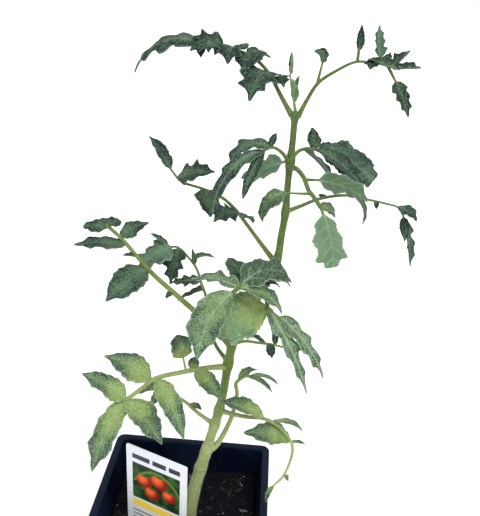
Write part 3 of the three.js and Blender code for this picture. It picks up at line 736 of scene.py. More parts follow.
# %% The hair tree
HAIR_RADIUS, STEM_HAIR, LEAF_HAIR = 0.035, 1.1, 0.6           # millimetres; the last two are lengths
STEM_DOWN, DARK_DOWN, LIGHT_DOWN = 1.6, 0.9, 1.6              # hairs per square millimetre
SHORTEST, LONGEST, HAIR_SPIN = 0.35, 1.0, 3.0                 # shares of the length; radians
STEM_SEED = 7


def hair_tree():
    tree = Tree("hairs", [
        ("Hairs per square metre", "Float", 1e6), ("Length", "Float", 0.001),
        ("Radius", "Float", 0.00004), ("Lean", "Float", 0.5), ("Seed", "Int", 1),
    ])
    given = tree.given
    spots = tree.spots(given["Hairs per square metre"], tree.attribute("fuzz"))
    spike = tree.add("GeometryNodeMeshCone", {"fill_type": "NGON"}, {
        "Vertices": 3, "Radius Top": 0.0, "Radius Bottom": 1.0, "Depth": 1.0})["Mesh"]
    turned = tree.add("FunctionNodeRotateRotation", {"rotation_space": "LOCAL"}, {
        "Rotation": spots["Rotation"], "Rotate By": tree.random_turn(given["Lean"], HAIR_SPIN)})[0]
    reach = tree.times(tree.random_number(SHORTEST, LONGEST), given["Length"])
    hairs = tree.add("GeometryNodeInstanceOnPoints", None, {
        "Points": spots["Points"], "Instance": spike, "Rotation": turned,
        "Scale": tree.vector(given["Radius"], given["Radius"], reach)})[0]
    both = tree.add("GeometryNodeJoinGeometry")
    tree.link(both[0].node.inputs[0], [tree.real(hairs), given["Geometry"]])
    tree.link(tree.result["Geometry"], both[0])
    return tree


HAIRS = hair_tree()


def finish_green(mesh, name, per_square_mm, length, seed):
    """The mesh with its hairs on, as a finished piece that rides on the one body."""
    mesh = grown(show(mesh, "bare"), HAIRS, {
        "Hairs per square metre": per_square_mm / MM**2, "Length": length * MM, "Seed": seed,
        "Radius": HAIR_RADIUS * MM, "Material": plant_hair})
    piece = show(mesh, name)
    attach(piece, BODY)
    return piece


stem = finish_green(stem_mesh, "hairy_stem", STEM_DOWN, STEM_HAIR, STEM_SEED)
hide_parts("stem")
print("stem with hairs:", len(stem.data.polygons), "faces")

# %% [markdown]
# ## The leaves
#
# A tomato leaf is compound: a stalk, a leaflet at its end and pairs of leaflets
# along it, large and small in turn. Each of the plant's leaves differs, so each has
# a few rows of plain numbers, the same as in the solids: the way along the stalk,
# the direction and rise that the leaflet sets off in, its length and width, its
# droop, its roll, its fold, its outline, its own little stalk and its sideways
# turn. Angles are in degrees and lengths in millimetres.

# %% The table of leaves
LEAVES = {
    # name: (radius of the stalk at the stem and at its end, tone and lighting, its route, leaflets);
    # tone and lighting goes from dark to bright, as one number or as one for each leaflet: the leaf's
    # own tone, with painted shade on leaflets in shadow and a painted glow on leaflets that light shines
    # through
    "upper_left": (1.0, 0.5, -0.25, [
        (45.2, 0.7, 313.5), (40, 3, 321), (33, 8, 331), (24, 13, 337), (12, 18, 339), (1, 22, 340)], [
        (1.00, 173, 20, 39, 13, 92, -28, -5, "lobed"),
        (0.99, 280, -20, 8, 5, 60, 0, 15, "oval"),
        (0.80, 195, 30, 16, 16, 75, -35, 5, "lobed"),
        (0.70, 262, 40, 17, 16, 120, 0, 10, "lobed"),
        (0.60, 25, 25, 13, 10, 65, 15, 5, "oval"),
        (0.52, 250, 40, 15, 14, 120, 0, 5, "oval"),
        (0.36, 250, 18, 25, 18, 85, -10, 5, "lobed"),
        (0.30, 300, 48, 12, 11, 115, 10, 5, "lobed"),
    ]),
    "upper_right": (0.9, 0.4, 0.0, [
        (47.9, -0.5, 313.5), (51, -2, 321), (55, -5, 329), (62, -9, 335), (69, -12, 339), (77, -14, 339),
        (83, -16, 338)], [
        (1.00, 350, 12, 11, 8, 15, 10, 10, "lobed"),
        (0.99, 25, 45, 10, 7, 10, 0, 20, "lobed"),
        (0.93, 60, 45, 7, 4, 10, 0, 15, "oval"),
        (0.96, 320, -50, 22, 7, 15, 30, 5, "lobed", 7),
        (0.92, 165, 70, 15, 7, -20, 50, 15, "lobed", 3),
        (0.72, 80, 85, 14, 4, 0, 20, 30, "oval", 4),
        (0.80, 320, 10, 15, 9, 30, 10, 15, "lobed"),
        (0.86, 250, 20, 9, 7, 60, 0, 10, "oval"),
        (0.33, 150, 100, 16, 6, 110, 0, 40, "lance", 9),
    ]),
    "growing_tip": (0.7, 0.4, (-0.6, 0.9, 0.7), [
        (47.1, 2.6, 313.5), (45.5, 2, 320), (44, 2, 326), (43, 2, 331)], [
        (1.00, 20, 82, 9, 2.6, -20, 0, 30, "lance"),
        (0.30, 235, 80, 11, 4, 10, 0, 45, "lance"),
        (0.35, 60, 80, 11, 3.5, 10, 0, 40, "lance"),
    ]),
    "middle_left": (0.9, 0.6, (0.2, 0.3, 1.0, 0.3, 0.1), [
        (45.5, -0.5, 293), (42, -4, 298), (38, -8, 301), (34, -11, 300)], [
        (0.80, 190, 32, 25, 9, 125, -25, 5, "lobed"),
        (1.00, 221, 0, 39, 8, 85, -20, 5, "lobed"),
        (0.05, 210, -8, 24, 15, 15, 60, 0, "oval", 3),
        (0.80, 60, 60, 7, 4, 10, 0, 20, "lance"),
        (0.98, 240, -35, 24, 6, 30, 0, 10, "lance"),
    ]),
    "middle_right": (0.9, 0.7, (0.5, 0.5, 0.0, 0.3, 0.2), [
        (46, 0.5, 293), (49.5, 4, 297), (54, 7, 298), (60, 10, 297)], [
        (1.00, 0, -5, 30, 19, 45, 40, 5, "ragged"),
        (0.85, 120, 65, 10, 7, 0, 0, 10, "round"),
        (0.95, 35, 5, 20, 9, 40, 25, 10, "oval"),
        (0.55, 318, -15, 22, 8, 35, -30, 15, "lance"),
        (0.80, 335, -5, 27, 9, 45, 20, 10, "ragged"),
    ]),
    "front_right": (1.1, 0.9, (0.9, -0.2, 0.8, 0.2), [
        (46, -0.5, 291), (49, -8, 292), (52, -17, 291), (54, -25, 288), (56, -31, 287), (59, -35, 284)], [
        (1.00, 303, -50, 25, 15, 25, 180, 5, "ragged", 3),
        (0.78, 202, 5, 29, 9, 110, -20, 10, "oval", 11),
        (0.50, 350, 5, 29, 16, 45, -50, 5, "oval", 6),
        (0.98, 15, -5, 9, 6, 60, 30, 10, "round"),
    ]),
    "right_back": (0.9, 0.5, 0.1, [
        (46, 0, 269), (53, 7, 270), (63, 15, 272), (76, 23, 272), (88, 28, 269), (98, 33, 266),
        (106, 36, 263), (110, 37, 256)], [
        (1.00, 320, -65, 25, 9, 15, 0, 20, "lobed"),
        (0.97, 280, -50, 13, 6, 20, 0, 15, "oval"),
        (0.88, 330, 10, 13, 9, 70, 15, 10, "oval"),
        (0.55, 350, -30, 16, 5, 80, 0, 20, "lance"),
        (0.70, 290, -50, 4, 3, 20, 0, 10, "lance"),
        (0.30, 90, 15, 5, 4, 20, 0, 10, "lance"),
    ]),
    "left_high": (1.1, 0.6, 0.1, [
        (43, 0, 243), (35, 7, 250), (28, 14, 256), (21, 20, 262), (13, 26, 266), (3, 31, 268),
        (-8, 34, 270), (-14, 35, 276)], [
        (1.00, 165, 60, 20, 9, 15, -20, 20, "oval"),
        (0.93, 350, 30, 21, 17, 30, 25, 5, "lobed"),
        (0.72, 290, -10, 18, 13, 50, 0, 10, "oval"),
        (0.42, 228, 25, 17, 15, 60, -15, 5, "lobed"),
        (0.38, 40, 15, 10, 8, 90, 0, 10, "oval"),
    ]),
    "front": (1.4, 1.0, (0.5, 0.3, -0.9, -1.2, 0.9, -0.7), [
        (34.5, -1, 222), (32, -10, 231), (30, -20, 238), (28, -30, 243), (25, -38, 244)], [
        (1.00, 218, -24, 33, 16.5, 45, -15, 5, "oval", 0, 40),
        (0.85, 155, 15, 25, 13, 40, 0, 5, "lobed"),
        (0.78, 25, 60, 27, 20, 110, 10, 5, "ragged"),
        (0.60, 120, 50, 21, 11, 60, 0, 10, "oval"),
        (0.85, 355, 10, 24, 9, 75, 15, 10, "oval"),
        (0.70, 30, 35, 22, 12, 90, 10, 5, "lobed"),
    ]),
    "front_low": (1.4, 1.0, (0.2, 0.2, 1.6, -1.0), [
        (37, -1, 228.5), (38.5, -8, 232), (40, -16, 231), (41, -24, 230)], [
        (1.00, 326, -42, 43, 9, 25, 10, 15, "lobed"),
        (1.00, 352, -32, 44, 11, 38, 20, 10, "lobed", 6),
        (0.95, 205, 0, 28, 21, 35, -45, 0, "ragged"),
        (0.88, 60, -60, 20, 5, 15, 0, 10, "lance"),
    ]),
    "low_right_back": (0.9, 0.6, -0.3, [
        (25, -0.5, 196), (31, 6, 194), (38, 12, 190), (45, 18, 186), (53, 24, 181)], [
        (1.00, 25, -5, 22, 10, 30, 0, 15, "lobed"),
        (0.62, 190, 42, 14, 5, 20, 0, 20, "lance"),
        (0.66, 300, -35, 8, 6, 30, 0, 20, "oval"),
        (0.80, 100, 60, 10, 4, 20, 0, 20, "lance"),
    ]),
    "left": (1.7, 0.9, 0.35, [
        (24.5, -0.5, 194), (14, 4, 202), (4, 8, 208), (-9, 12, 217), (-19, 15, 224), (-29, 17, 234),
        (-37, 19, 242), (-45, 20, 248.5)], [
        (0.98, 176, 8, 14, 11, 25, -18, 0, "round"),
        (1.00, 45, 12, 9, 9, 20, 15, 5, "round"),
        (0.84, 190, 12, 27, 12, 25, -12, 8, "oval"),
        (0.90, 25, 42, 17, 11, 40, 20, 5, "oval"),
        (0.66, 225, -10, 28, 19, 30, -15, 10, "oval"),
        (0.76, 210, 20, 7, 4, 20, 0, 10, "lance"),
        (0.47, 230, -20, 5, 4, 30, 0, 10, "lance"),
    ]),
    "left_back": (1.0, 0.6, (1.0, 0.6, -0.2, 0.9, 0.9, -0.8, -0.4), [
        (23, -0.5, 184), (14, 8, 192), (9, 16, 211), (5, 21, 219), (2, 25, 225), (-3, 28, 230),
        (-9, 31, 234), (-15, 33, 233)], [
        (0.97, 212, -8, 23, 21, 40, -10, 5, "lobed"),
        (1.00, 150, 30, 13, 5, 15, 0, 25, "lance"),
        (0.90, 248, -40, 20, 13, 40, 0, 10, "lobed"),
        (0.78, 20, 45, 14, 5, 80, 0, 20, "oval"),
        (0.74, 120, 75, 9, 3, 20, 0, 20, "lance"),
        (0.62, 190, 10, 17, 9, 30, -15, 15, "lobed"),
        (0.56, 168, -15, 18, 11, 40, 0, 10, "lobed"),
    ]),
    "low_left": (1.4, 1.0, 0.3, [
        (22.5, -1, 182), (13, -8, 185), (1, -15, 186), (-11, -22, 186), (-17, -27, 183), (-24, -32, 179)], [
        (1.00, 180, 50, 25, 12, 35, -25, 10, "oval"),
        (1.00, 235, -35, 37, 15, 35, -5, 10, "oval"),
        (1.00, 325, -10, 28, 15, 35, 0, 10, "oval"),
        (0.74, 168, 42, 27, 14, 45, -25, 10, "oval"),
        (0.70, 315, -20, 33, 12, 45, 5, 15, "oval"),
        (0.33, 322, -10, 20, 11, 35, 10, 10, "oval"),
        (0.42, 130, 65, 19, 13, 10, 0, 5, "round", 7),
        (0.36, 90, 40, 8, 6, 30, 0, 10, "lance"),
    ]),
    "low_right": (1.2, 0.6, 0.4, [
        (19, 0, 153), (27, -5, 155), (35, -9, 157), (43, -13, 160), (51, -17, 159), (58, -21, 153),
        (59, -22, 145), (56, -24, 134), (51, -25, 127)], [
        (1.00, 215, -60, 10, 4, 10, 0, 30, "lance"),
        (0.38, 172, 38, 26, 11, 50, -10, 10, "oval"),
        (0.62, 172, 20, 25, 15, 40, -10, 10, "oval"),
        (0.45, 350, 40, 17, 5, 90, 0, 25, "lance"),
        (0.62, 15, -5, 8, 2.5, 20, 0, 10, "lance"),
        (0.88, 330, -40, 4, 3, 20, 0, 10, "lance"),
    ]),
    "low_left_back": (1.2, 0.7, 0.2, [(17, 0, 143), (7, 3, 148), (0, 6, 152), (-8, 8, 155), (-15, 9, 157)], [
        (1.00, 170, 0, 14, 8, 50, 0, 20, "oval"),
        (0.95, 215, -25, 12, 7, 50, 0, 20, "oval"),
        (0.50, 330, 20, 9, 5, 30, 0, 20, "lance"),
    ]),
    "low_back": (1.6, 0.9, 0.4, [
        (13, 0, 124), (18, 2, 127), (22, 4, 134), (26, 6, 145), (28, 11, 156), (27, 15, 161),
        (31, 19, 163), (34, 23, 161)], [
        (1.00, 20, 5, 21, 4, 60, 0, 30, "lance"),
        (0.97, 350, -5, 17, 4, 45, 0, 30, "lance"),
        (0.84, 40, 50, 14, 6, 80, 0, 20, "oval"),
    ]),
}
print(len(LEAVES), "leaves with", sum(len(leaf[4]) for leaf in LEAVES.values()), "leaflets")

# %% Put stalk and blades together
def mesh_of(parts, material, values):
    """One mesh of several blades; values go to its points, one for all blades or one for each."""
    sizes = [len(part["points"]) for part in parts]
    starts = np.cumsum([0] + sizes)
    points = np.concatenate([part["points"] for part in parts]) * MM
    faces = np.concatenate([part["faces"] + start for part, start in zip(parts, starts)])
    mesh = bpy.data.meshes.new("blades")
    mesh.from_pydata(points, [], faces)
    mesh.polygons.foreach_set("use_smooth", np.ones(len(faces), bool))
    mesh.materials.append(material)
    for name in ("edge", "under", "fuzz"):
        add_value(mesh, name, np.concatenate([part[name] for part in parts]))
    for name, value in values.items():
        add_value(mesh, name, np.repeat(np.broadcast_to(value, len(parts)), sizes).astype(np.float32))
    chart = mesh.uv_layers.new(name="blade")
    corner = np.zeros(len(mesh.loops), int)
    mesh.loops.foreach_get("vertex_index", corner)
    chart.data.foreach_set("uv", np.concatenate([part["chart"] for part in parts])[corner].ravel())
    return mesh


def joined(meshes, name):
    pieces = [show(mesh, name) for mesh in meshes]
    with bpy.context.temp_override(active_object=pieces[0], selected_editable_objects=pieces):
        bpy.ops.object.join()
    mesh = pieces[0].data
    bpy.data.objects.remove(pieces[0])
    return mesh


def green_stalk(points, radii, sides, ripe):
    mesh = stalk(points, radii, sides)
    add_value(mesh, "fuzz", 1.0)
    add_value(mesh, "ripe", ripe)
    return mesh


print("blades and stalks can be joined")

# %% Make the leaves
# the dark material goes to the young leaves high up, and also to leaves behind others such as left_back,
# whose darkness is partly painted shade
DARK_LEAVES = ("upper_left", "upper_right", "middle_left", "middle_right", "right_back", "left_high", "left",
               "left_back", "low_right_back")
# how plainly the veins show and how yellow the middle is, for all leaflets of a leaf or for each
VEINED = {"front": (0.35, 0.9, 0.7, 0.3, 0.4, 0.6), "front_low": (0.7, 0.6, 0.2, 0.3), "low_left": 0.4,
          "low_right": 0.4, "left_back": (1.0, 0.5, 0.2, 0.2, 0.2, 0.6, 0.2)}
RIPE = {"low_left": 0.9, "low_right": 0.8, "low_back": 0.5, "low_left_back": 0.5,
        "front_low": (0.1, 0.1, 1.0, 0.0), "front": (0.2, 0.0, 0.0, 0.0, 0.3, 0.0), "growing_tip": 0.9,
        "left": 0.3}
OTHERS_VEINED, OTHERS_RIPE = 0.2, 0.15                  # for leaves that aren't in those two tables
STALK_STEPS, STALK_SIDES = 12, 12                       # rings per span of a leaf's stalk, and its faces
SWELLING, SWELLING_FALL = 0.5, 14                       # how much thicker it is where it springs
TWIG_STEPS, TWIG_SIDES = 6, 8                           # the same for a leaflet's own little stalk
TWIG_RADIUS, TWIG_INTO_BLADE = 0.7, 1.5                 # millimetres
TWIG_TAPER = 0.03                                       # loss of radius for each millimetre of length
SEEDS_PER_LEAF = 20


def make_leaf(index, name):
    thick, thin, tone_and_lighting, route, leaflets = LEAVES[name]
    line = smooth_route(route, STALK_STEPS)
    radii = (thick + (thin - thick) * line[1]) * (1 + SWELLING * np.exp(-SWELLING_FALL * line[1]))
    ripe = RIPE.get(name, OTHERS_RIPE)
    stalk_ripe = float(np.mean(ripe))
    stalks, blades = [green_stalk(line[0], radii, STALK_SIDES, stalk_ripe)], []
    for k, (at, az, el, length, width, droop, roll, fold, kind, *more) in enumerate(leaflets):
        own_stalk, turn = (*more, 0, 0)[:2]
        base = point_at(line, at)
        if own_stalk:
            way = headings(az, el)
            run = np.linspace(0, own_stalk + TWIG_INTO_BLADE, TWIG_STEPS)
            twig = base + run[:, None] * way
            stalks.append(green_stalk(twig, TWIG_RADIUS - TWIG_TAPER * run, TWIG_SIDES, stalk_ripe))
            base = base + own_stalk * way
        blades.append(blade(base, az, el, length - own_stalk, width, droop, roll, fold, kind, turn,
                            index * SEEDS_PER_LEAF + k))
    dark = name in DARK_LEAVES
    values = {"tone_and_lighting": tone_and_lighting, "veined": VEINED.get(name, OTHERS_VEINED), "ripe": ripe}
    skin = mesh_of(blades, leaf_dark if dark else leaf_light, values)
    mesh = joined([skin, *stalks], name)
    piece = finish_green(mesh, f"leafy_{name}", DARK_DOWN if dark else LIGHT_DOWN, LEAF_HAIR, index)
    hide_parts(f"leaf_{name}")
    return piece


leaves = [make_leaf(index, name) for index, name in enumerate(LEAVES)]
print("leaf faces:", [len(piece.data.polygons) for piece in leaves])

# %% [markdown]
# ## The pot
#
# The pot is a rounded square at every height, so its skin is a stack of such rings:
# up the outside, under and over the rim, and down the inside to the floor. The solid
# has the same section with flat corners. Here the plan's corners are rounder, the
# rim's edges get small radii that catch the light, and the four drain holes are cut
# with a Boolean modifier. All sizes are those of the solid.

# %% Rounded squares and pot dimensions
# all in millimetres; the rim and the base are full widths, the mouth and the foot are halves
POT_RIM, POT_HEIGHT, POT_BASE, POT_WALL, POT_FLOOR, POT_CORNER = 100.0, 90.0, 68.0, 1.3, 1.8, 4.5
RIM_LEDGE, RIM_SKIRT, DRAIN_HOLE, DRAIN_PITCH = 4.6, 9.0, 9.0, 19.0
MOUTH, FOOT = POT_RIM / 2 - RIM_LEDGE, POT_BASE / 2


def square_ring(half, corner, height, per_corner=13, per_side=24):
    """Points round a square with round corners, as seen from above."""
    angle = np.linspace(0, math.pi / 2, per_corner)
    arc = half - corner + corner * np.stack([np.cos(angle), np.sin(angle)], -1)
    side = np.stack([np.linspace(half - corner, corner - half, per_side + 2)[1:-1],
                     np.full(per_side, half)], -1)
    quarter = np.vstack([arc, side])
    flat = np.vstack([quarter @ np.array([[c, s], [-s, c]]) for c, s in ((1, 0), (0, 1), (-1, 0), (0, -1))])
    return np.column_stack([flat, np.full(len(flat), height)])


def inside_at(height):
    """Half width of the pot's inside."""
    return FOOT - POT_WALL + (MOUTH - FOOT + POT_WALL) * (height - POT_FLOOR) / (POT_HEIGHT - POT_FLOOR)


def loft(rings, name):
    """A closed mesh through a stack of equal rings, with flat ends."""
    count, size = len(rings), len(rings[0])
    grid = np.arange(count * size).reshape(count, size)
    onward = np.roll(grid, -1, 1)
    walls = np.stack([grid[:-1], onward[:-1], onward[1:], grid[1:]], -1).reshape(-1, 4)
    mesh = bpy.data.meshes.new(name)
    ends = [grid[0, ::-1].tolist(), grid[-1].tolist()]
    mesh.from_pydata(np.concatenate(rings) * MM, [], [*walls.tolist(), *ends])
    mesh.polygons.foreach_set("use_smooth", np.ones(len(mesh.polygons), bool))
    return mesh


def rounded(half, height, corner, turns, radius, steps=5):
    """Rings round a small edge: turns gives the angles of its radius at start and end."""
    angles = np.radians(np.linspace(*turns, steps))
    return [square_ring(half + radius * math.cos(a), corner + 0.4 * radius * math.cos(a),
                        height + radius * math.sin(a)) for a in angles]


print("a ring of the rim has", len(square_ring(POT_RIM / 2, POT_CORNER, POT_HEIGHT)), "points")

# %% Pot
RIM_TOP = (0.0872, 0.0895)      # height where the wall's colour goes over to the rim's, in metres
WALL_DARK, WALL_PALE, SCUFFS, RIM_COLOUR = (
    (0.0006, 0.0018, 0.009), (0.0025, 0.007, 0.02), (0.012, 0.024, 0.042), (0.002, 0.01, 0.023))
SHARP_ANGLE = math.radians(35)  # edges that bend more than this stay sharp
DRILL_ENDS = (-3, 5)            # heights of the drill's ends, in millimetres


def pot_paint():
    p = Paint("worn dark plastic", {"Specular IOR Level": 0.1})
    where = p.place()
    height = p.split(where)[2]
    grain = p.noise(where, 900.0, 2.0)
    clouds = p.noise(where, 38.0).rise(0.4, 0.68)
    streaks = p.noise(p.drawn_out(where, 0.06), 420.0).rise(0.56, 0.78)
    colour = p.mix(clouds, WALL_DARK, WALL_PALE)
    colour = p.mix(streaks * 0.25, colour, SCUFFS)
    colour = p.mix(height.rise(*RIM_TOP) * (0.25 + grain * 0.4), colour, RIM_COLOUR)
    p.set("Base Color", colour)
    p.set("Roughness", 0.42 + clouds * 0.14 + grain * 0.1)
    p.bump(grain + streaks * 0.3, 0.25, 0.0002)
    return p.material


def make_pot(material):
    ledge, under = POT_RIM / 2, POT_HEIGHT - POT_WALL
    rings = [       # from the foot up the outside, round the rim, and down the inside
        square_ring(FOOT - 0.6, POT_CORNER - 0.4, 0), square_ring(FOOT, POT_CORNER, 1.2),
        square_ring(FOOT + 0.05, POT_CORNER, 3), square_ring(MOUTH + POT_WALL - 0.4, POT_CORNER, under - 3),
        square_ring(MOUTH + POT_WALL - 0.2, POT_CORNER, under),
        square_ring(ledge - POT_WALL, POT_CORNER, under),
        square_ring(ledge - POT_WALL, POT_CORNER, POT_HEIGHT - RIM_SKIRT + 0.2),
        *rounded(ledge - 0.5, POT_HEIGHT - RIM_SKIRT + 0.5, POT_CORNER, (-90, 0), 0.5, 4),
        *rounded(ledge - 1.0, POT_HEIGHT - 1.0, POT_CORNER, (0, 90), 1.0),
        *rounded(MOUTH + 1.1, POT_HEIGHT - 1.1, POT_CORNER - 0.6, (90, 180), 1.1),
        square_ring(inside_at(POT_HEIGHT - 8), POT_CORNER - 1, POT_HEIGHT - 8),
        square_ring(inside_at(POT_FLOOR) + 0.2, POT_CORNER - 1.3, POT_FLOOR + 0.6),
        square_ring(inside_at(POT_FLOOR) - 0.6, POT_CORNER - 1.6, POT_FLOOR),
    ]
    pot = show(loft(rings, "pot skin"), "nursery_pot")
    round_half = DRAIN_HOLE / 2
    drill_mesh = loft([square_ring(round_half, round_half - 0.01, end, 9, 1) for end in DRILL_ENDS], "drill")
    for x, y in ((1, 1), (1, -1), (-1, 1), (-1, -1)):
        drill = show(drill_mesh, "drill")
        drill.location = Vector((x, y, 0)) * DRAIN_PITCH * MM
        cut = pot.modifiers.new("hole", "BOOLEAN")
        cut.operation, cut.object = "DIFFERENCE", drill
    mesh = bpy.data.meshes.new_from_object(pot.evaluated_get(bpy.context.evaluated_depsgraph_get()))
    for made in [one for one in bpy.data.objects if one == pot or one.name.startswith("drill")]:
        bpy.data.objects.remove(made)
    mesh.set_sharp_from_angle(angle=SHARP_ANGLE)
    mesh.materials.clear()
    mesh.materials.append(material)
    pot = show(mesh, "nursery_pot")
    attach(pot, BODY)
    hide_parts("pot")
    return pot


pot = make_pot(pot_paint())
print("pot faces:", len(pot.data.polygons))

# %% [markdown]
# ## The potting mix
#
# From above, potting mix is nearly black, with crumbs of peat, slivers of bark and a
# few pale bits. The ground itself is a stack of rounded-square rings whose heights
# come from layered noise. On it lie crumbs: one Geometry Nodes tree scatters rough
# little stones with named inputs for how many, how big and how long they are, so
# the same tree makes peat, bark, pale grit and dry bits. The painted value `room` is
# the distance to the label, the stem or the wall, so each kind can keep off them by
# its own length.

# %% Ground
SOIL_TOP, SOIL_GAP, SOIL_RINGS = 72.0, 0.3, 46
LABEL_PLACE, LABEL_YAW, LABEL_WIDTH = (-13.0, -13.0), math.radians(-23), 39.0
STEM_FOOT = (4.0, 0.0, 4.0)     # where the stem leaves the soil, and its radius there
LUMPS, GRAINS = (0.09, 1.3), (0.55, 0.8)        # scale of the noise, and its height in millimetres
MOUND, MOUND_SPREAD = 2.2, 240                  # height, and spread squared, of the soil round the stem
DEEPEST_CRUMB = 3.2             # how far below the soil's level crumbs still lie
SPECK_LIGHTER = 2.2             # how many times lighter specks are than the pale colour


def soil_height(x, y):
    here = Vector((x, y, 0))
    lumps = noise.fractal(here * LUMPS[0], 1.0, 2.0, 3)
    grains = noise.fractal(here * GRAINS[0], 0.8, 2.1, 4)
    mound = MOUND * math.exp(-((x - STEM_FOOT[0]) ** 2 + y**2) / MOUND_SPREAD)
    return SOIL_TOP + LUMPS[1] * lumps + GRAINS[1] * grains + mound


def soil_paint(name, dark, pale):
    p = Paint(name, {"Specular IOR Level": 0.08, "Roughness": 0.92})
    where = p.place()
    specks = p.noise(where, 1500.0, 2.0).rise(0.55, 0.75)
    colour = p.mix(p.noise(where, 260.0), dark, pale)
    p.set("Base Color", p.mix(specks * 0.4, colour, tuple(SPECK_LIGHTER * value for value in pale)))
    p.bump(p.noise(where, 1900.0, 3.0), 0.9, 0.0004)
    return p.material


def make_ground(material):
    def side(height):
        return inside_at(height) - SOIL_GAP

    bottom = POT_FLOOR + SOIL_GAP
    rings = [square_ring(side(bottom) - 0.6, POT_CORNER - 2, bottom),
             square_ring(side(SOIL_TOP - 3) - 0.1, POT_CORNER - 1.3, SOIL_TOP - 3.5)]
    for share in np.linspace(1, 0.02, SOIL_RINGS):
        ring = square_ring((side(SOIL_TOP) - 0.6) * share, max(0.4, (POT_CORNER - 1) * share), SOIL_TOP)
        ring[:, 2] = [soil_height(x, y) for x, y, _ in ring]
        rings.append(ring)
    mesh = loft(rings, "ground")
    mesh.materials.append(material)
    places = np.concatenate(rings)
    dx, dy = places[:, 0] - LABEL_PLACE[0], places[:, 1] - LABEL_PLACE[1]
    across_label = dy * math.cos(LABEL_YAW) - dx * math.sin(LABEL_YAW)
    past_label = np.abs(dx * math.cos(LABEL_YAW) + dy * math.sin(LABEL_YAW)) - LABEL_WIDTH / 2
    from_label = np.hypot(across_label, np.maximum(past_label, 0))
    from_stem = np.hypot(places[:, 0] - STEM_FOOT[0], places[:, 1] - STEM_FOOT[1]) - STEM_FOOT[2]
    from_wall = side(SOIL_TOP) + 1 - np.abs(places[:, :2]).max(1)
    room = np.minimum(np.minimum(from_label, from_stem), from_wall)
    on_top = places[:, 2] > SOIL_TOP - DEEPEST_CRUMB
    add_value(mesh, "room", np.where(on_top, room, 0).astype(np.float32))
    return mesh


peat = soil_paint("damp peat", (0.0008, 0.0014, 0.005), (0.005, 0.005, 0.007))
ground_mesh = make_ground(peat)
print("ground faces:", len(ground_mesh.polygons))

# %% Crumbs
KNOB_SCALE, KNOB_PUSH, CRUMB_SPIN = 1.4, 4.0, 3.1       # noise that roughens a stone; radians
CM2_PER_M2, FIRST_SEED = 1e4, 3


def crumb_tree():
    tree = Tree("crumbs", [
        ("Pieces per square metre", "Float", 1e5), ("Clearance", "Float", 1.5),
        ("Smallest", "Float", 0.0004), ("Largest", "Float", 0.001), ("Length", "Float", 1.0),
        ("Flatness", "Float", 0.7), ("Roughness", "Float", 0.35), ("Tilt", "Float", 3.0), ("Seed", "Int", 1),
    ])
    given = tree.given
    free = tree.math("GREATER_THAN", tree.attribute("room"), given["Clearance"])
    spots = tree.spots(given["Pieces per square metre"], free)
    ball = tree.add("GeometryNodeMeshIcoSphere", None, {"Radius": 1.0, "Subdivisions": 2})["Mesh"]
    knobbly = tree.add("ShaderNodeTexNoise", None, {"Scale": KNOB_SCALE, "Detail": 2.0})[0]
    strength = tree.times(given["Roughness"], KNOB_PUSH)
    push = tree.add("ShaderNodeVectorMath", {"operation": "SCALE"}, {
        0: tree.add("GeometryNodeInputNormal")[0],
        "Scale": tree.times(tree.math("SUBTRACT", knobbly, 0.5), strength)})[0]
    ball = tree.add("GeometryNodeSetPosition", None, {"Geometry": ball, "Offset": push})[0]
    size = tree.random_number(given["Smallest"], given["Largest"])
    shape = tree.vector(tree.times(size, given["Length"]), size, tree.times(size, given["Flatness"]))
    crumbs = tree.add("GeometryNodeInstanceOnPoints", None, {
        "Points": spots["Points"], "Instance": ball, "Scale": shape,
        "Rotation": tree.random_turn(given["Tilt"], CRUMB_SPIN)})[0]
    tree.link(tree.result["Geometry"], tree.real(crumbs))
    return tree


CRUMBS = crumb_tree()
KINDS = {
    # name: (pieces per square centimetre, clearance in mm, smallest and largest radius in mm, length,
    #        flatness, tilt, two colours)
    "peat_crumbs": (22, 1.5, 0.3, 1.1, 1.3, 0.8, 3.0, (0.0012, 0.0015, 0.004), (0.009, 0.008, 0.009)),
    "bark_slivers": (1.6, 3.0, 0.5, 1.2, 3.4, 0.4, 0.5, (0.004, 0.0035, 0.004), (0.032, 0.026, 0.023)),
    "pale_grit": (0.35, 1.5, 0.3, 0.6, 1.3, 0.8, 3.0, (0.1, 0.1, 0.09), (0.3, 0.3, 0.28)),
    "dry_bits": (0.55, 5.0, 0.8, 1.5, 3.4, 0.4, 0.5, (0.03, 0.033, 0.03), (0.19, 0.19, 0.17)),
}


def make_crumbs(seed, name):
    per_cm2, clearance, smallest, largest, length, flatness, tilt, dark, pale = KINDS[name]
    mesh = grown(show(ground_mesh.copy(), "ground copy"), CRUMBS, {
        "Pieces per square metre": per_cm2 * CM2_PER_M2, "Clearance": clearance, "Smallest": smallest * MM,
        "Largest": largest * MM, "Length": length, "Flatness": flatness, "Tilt": tilt, "Seed": seed,
        "Material": soil_paint(name.replace("_", " "), dark, pale)})
    piece = show(mesh, name)
    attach(piece, BODY)
    return piece


crumbs = [make_crumbs(seed, name) for seed, name in enumerate(KINDS, FIRST_SEED)]
ground = show(ground_mesh, "ground")
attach(ground, BODY)
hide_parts("soil")
print("crumbs:", {piece.name: len(piece.data.polygons) for piece in crumbs})

# %% [markdown]
# ## The printed label
#
# The solid label keeps its shape and gets a printed face. The material finds its
# way in millimetres across and up the plate from the object's own coordinates, and
# every printed shape is a sum: a bar is a product of two ranges, a tomato is a
# distance. The print is made up: three bars for a name, a truss of small tomatoes,
# a yellow band and lines for a text.

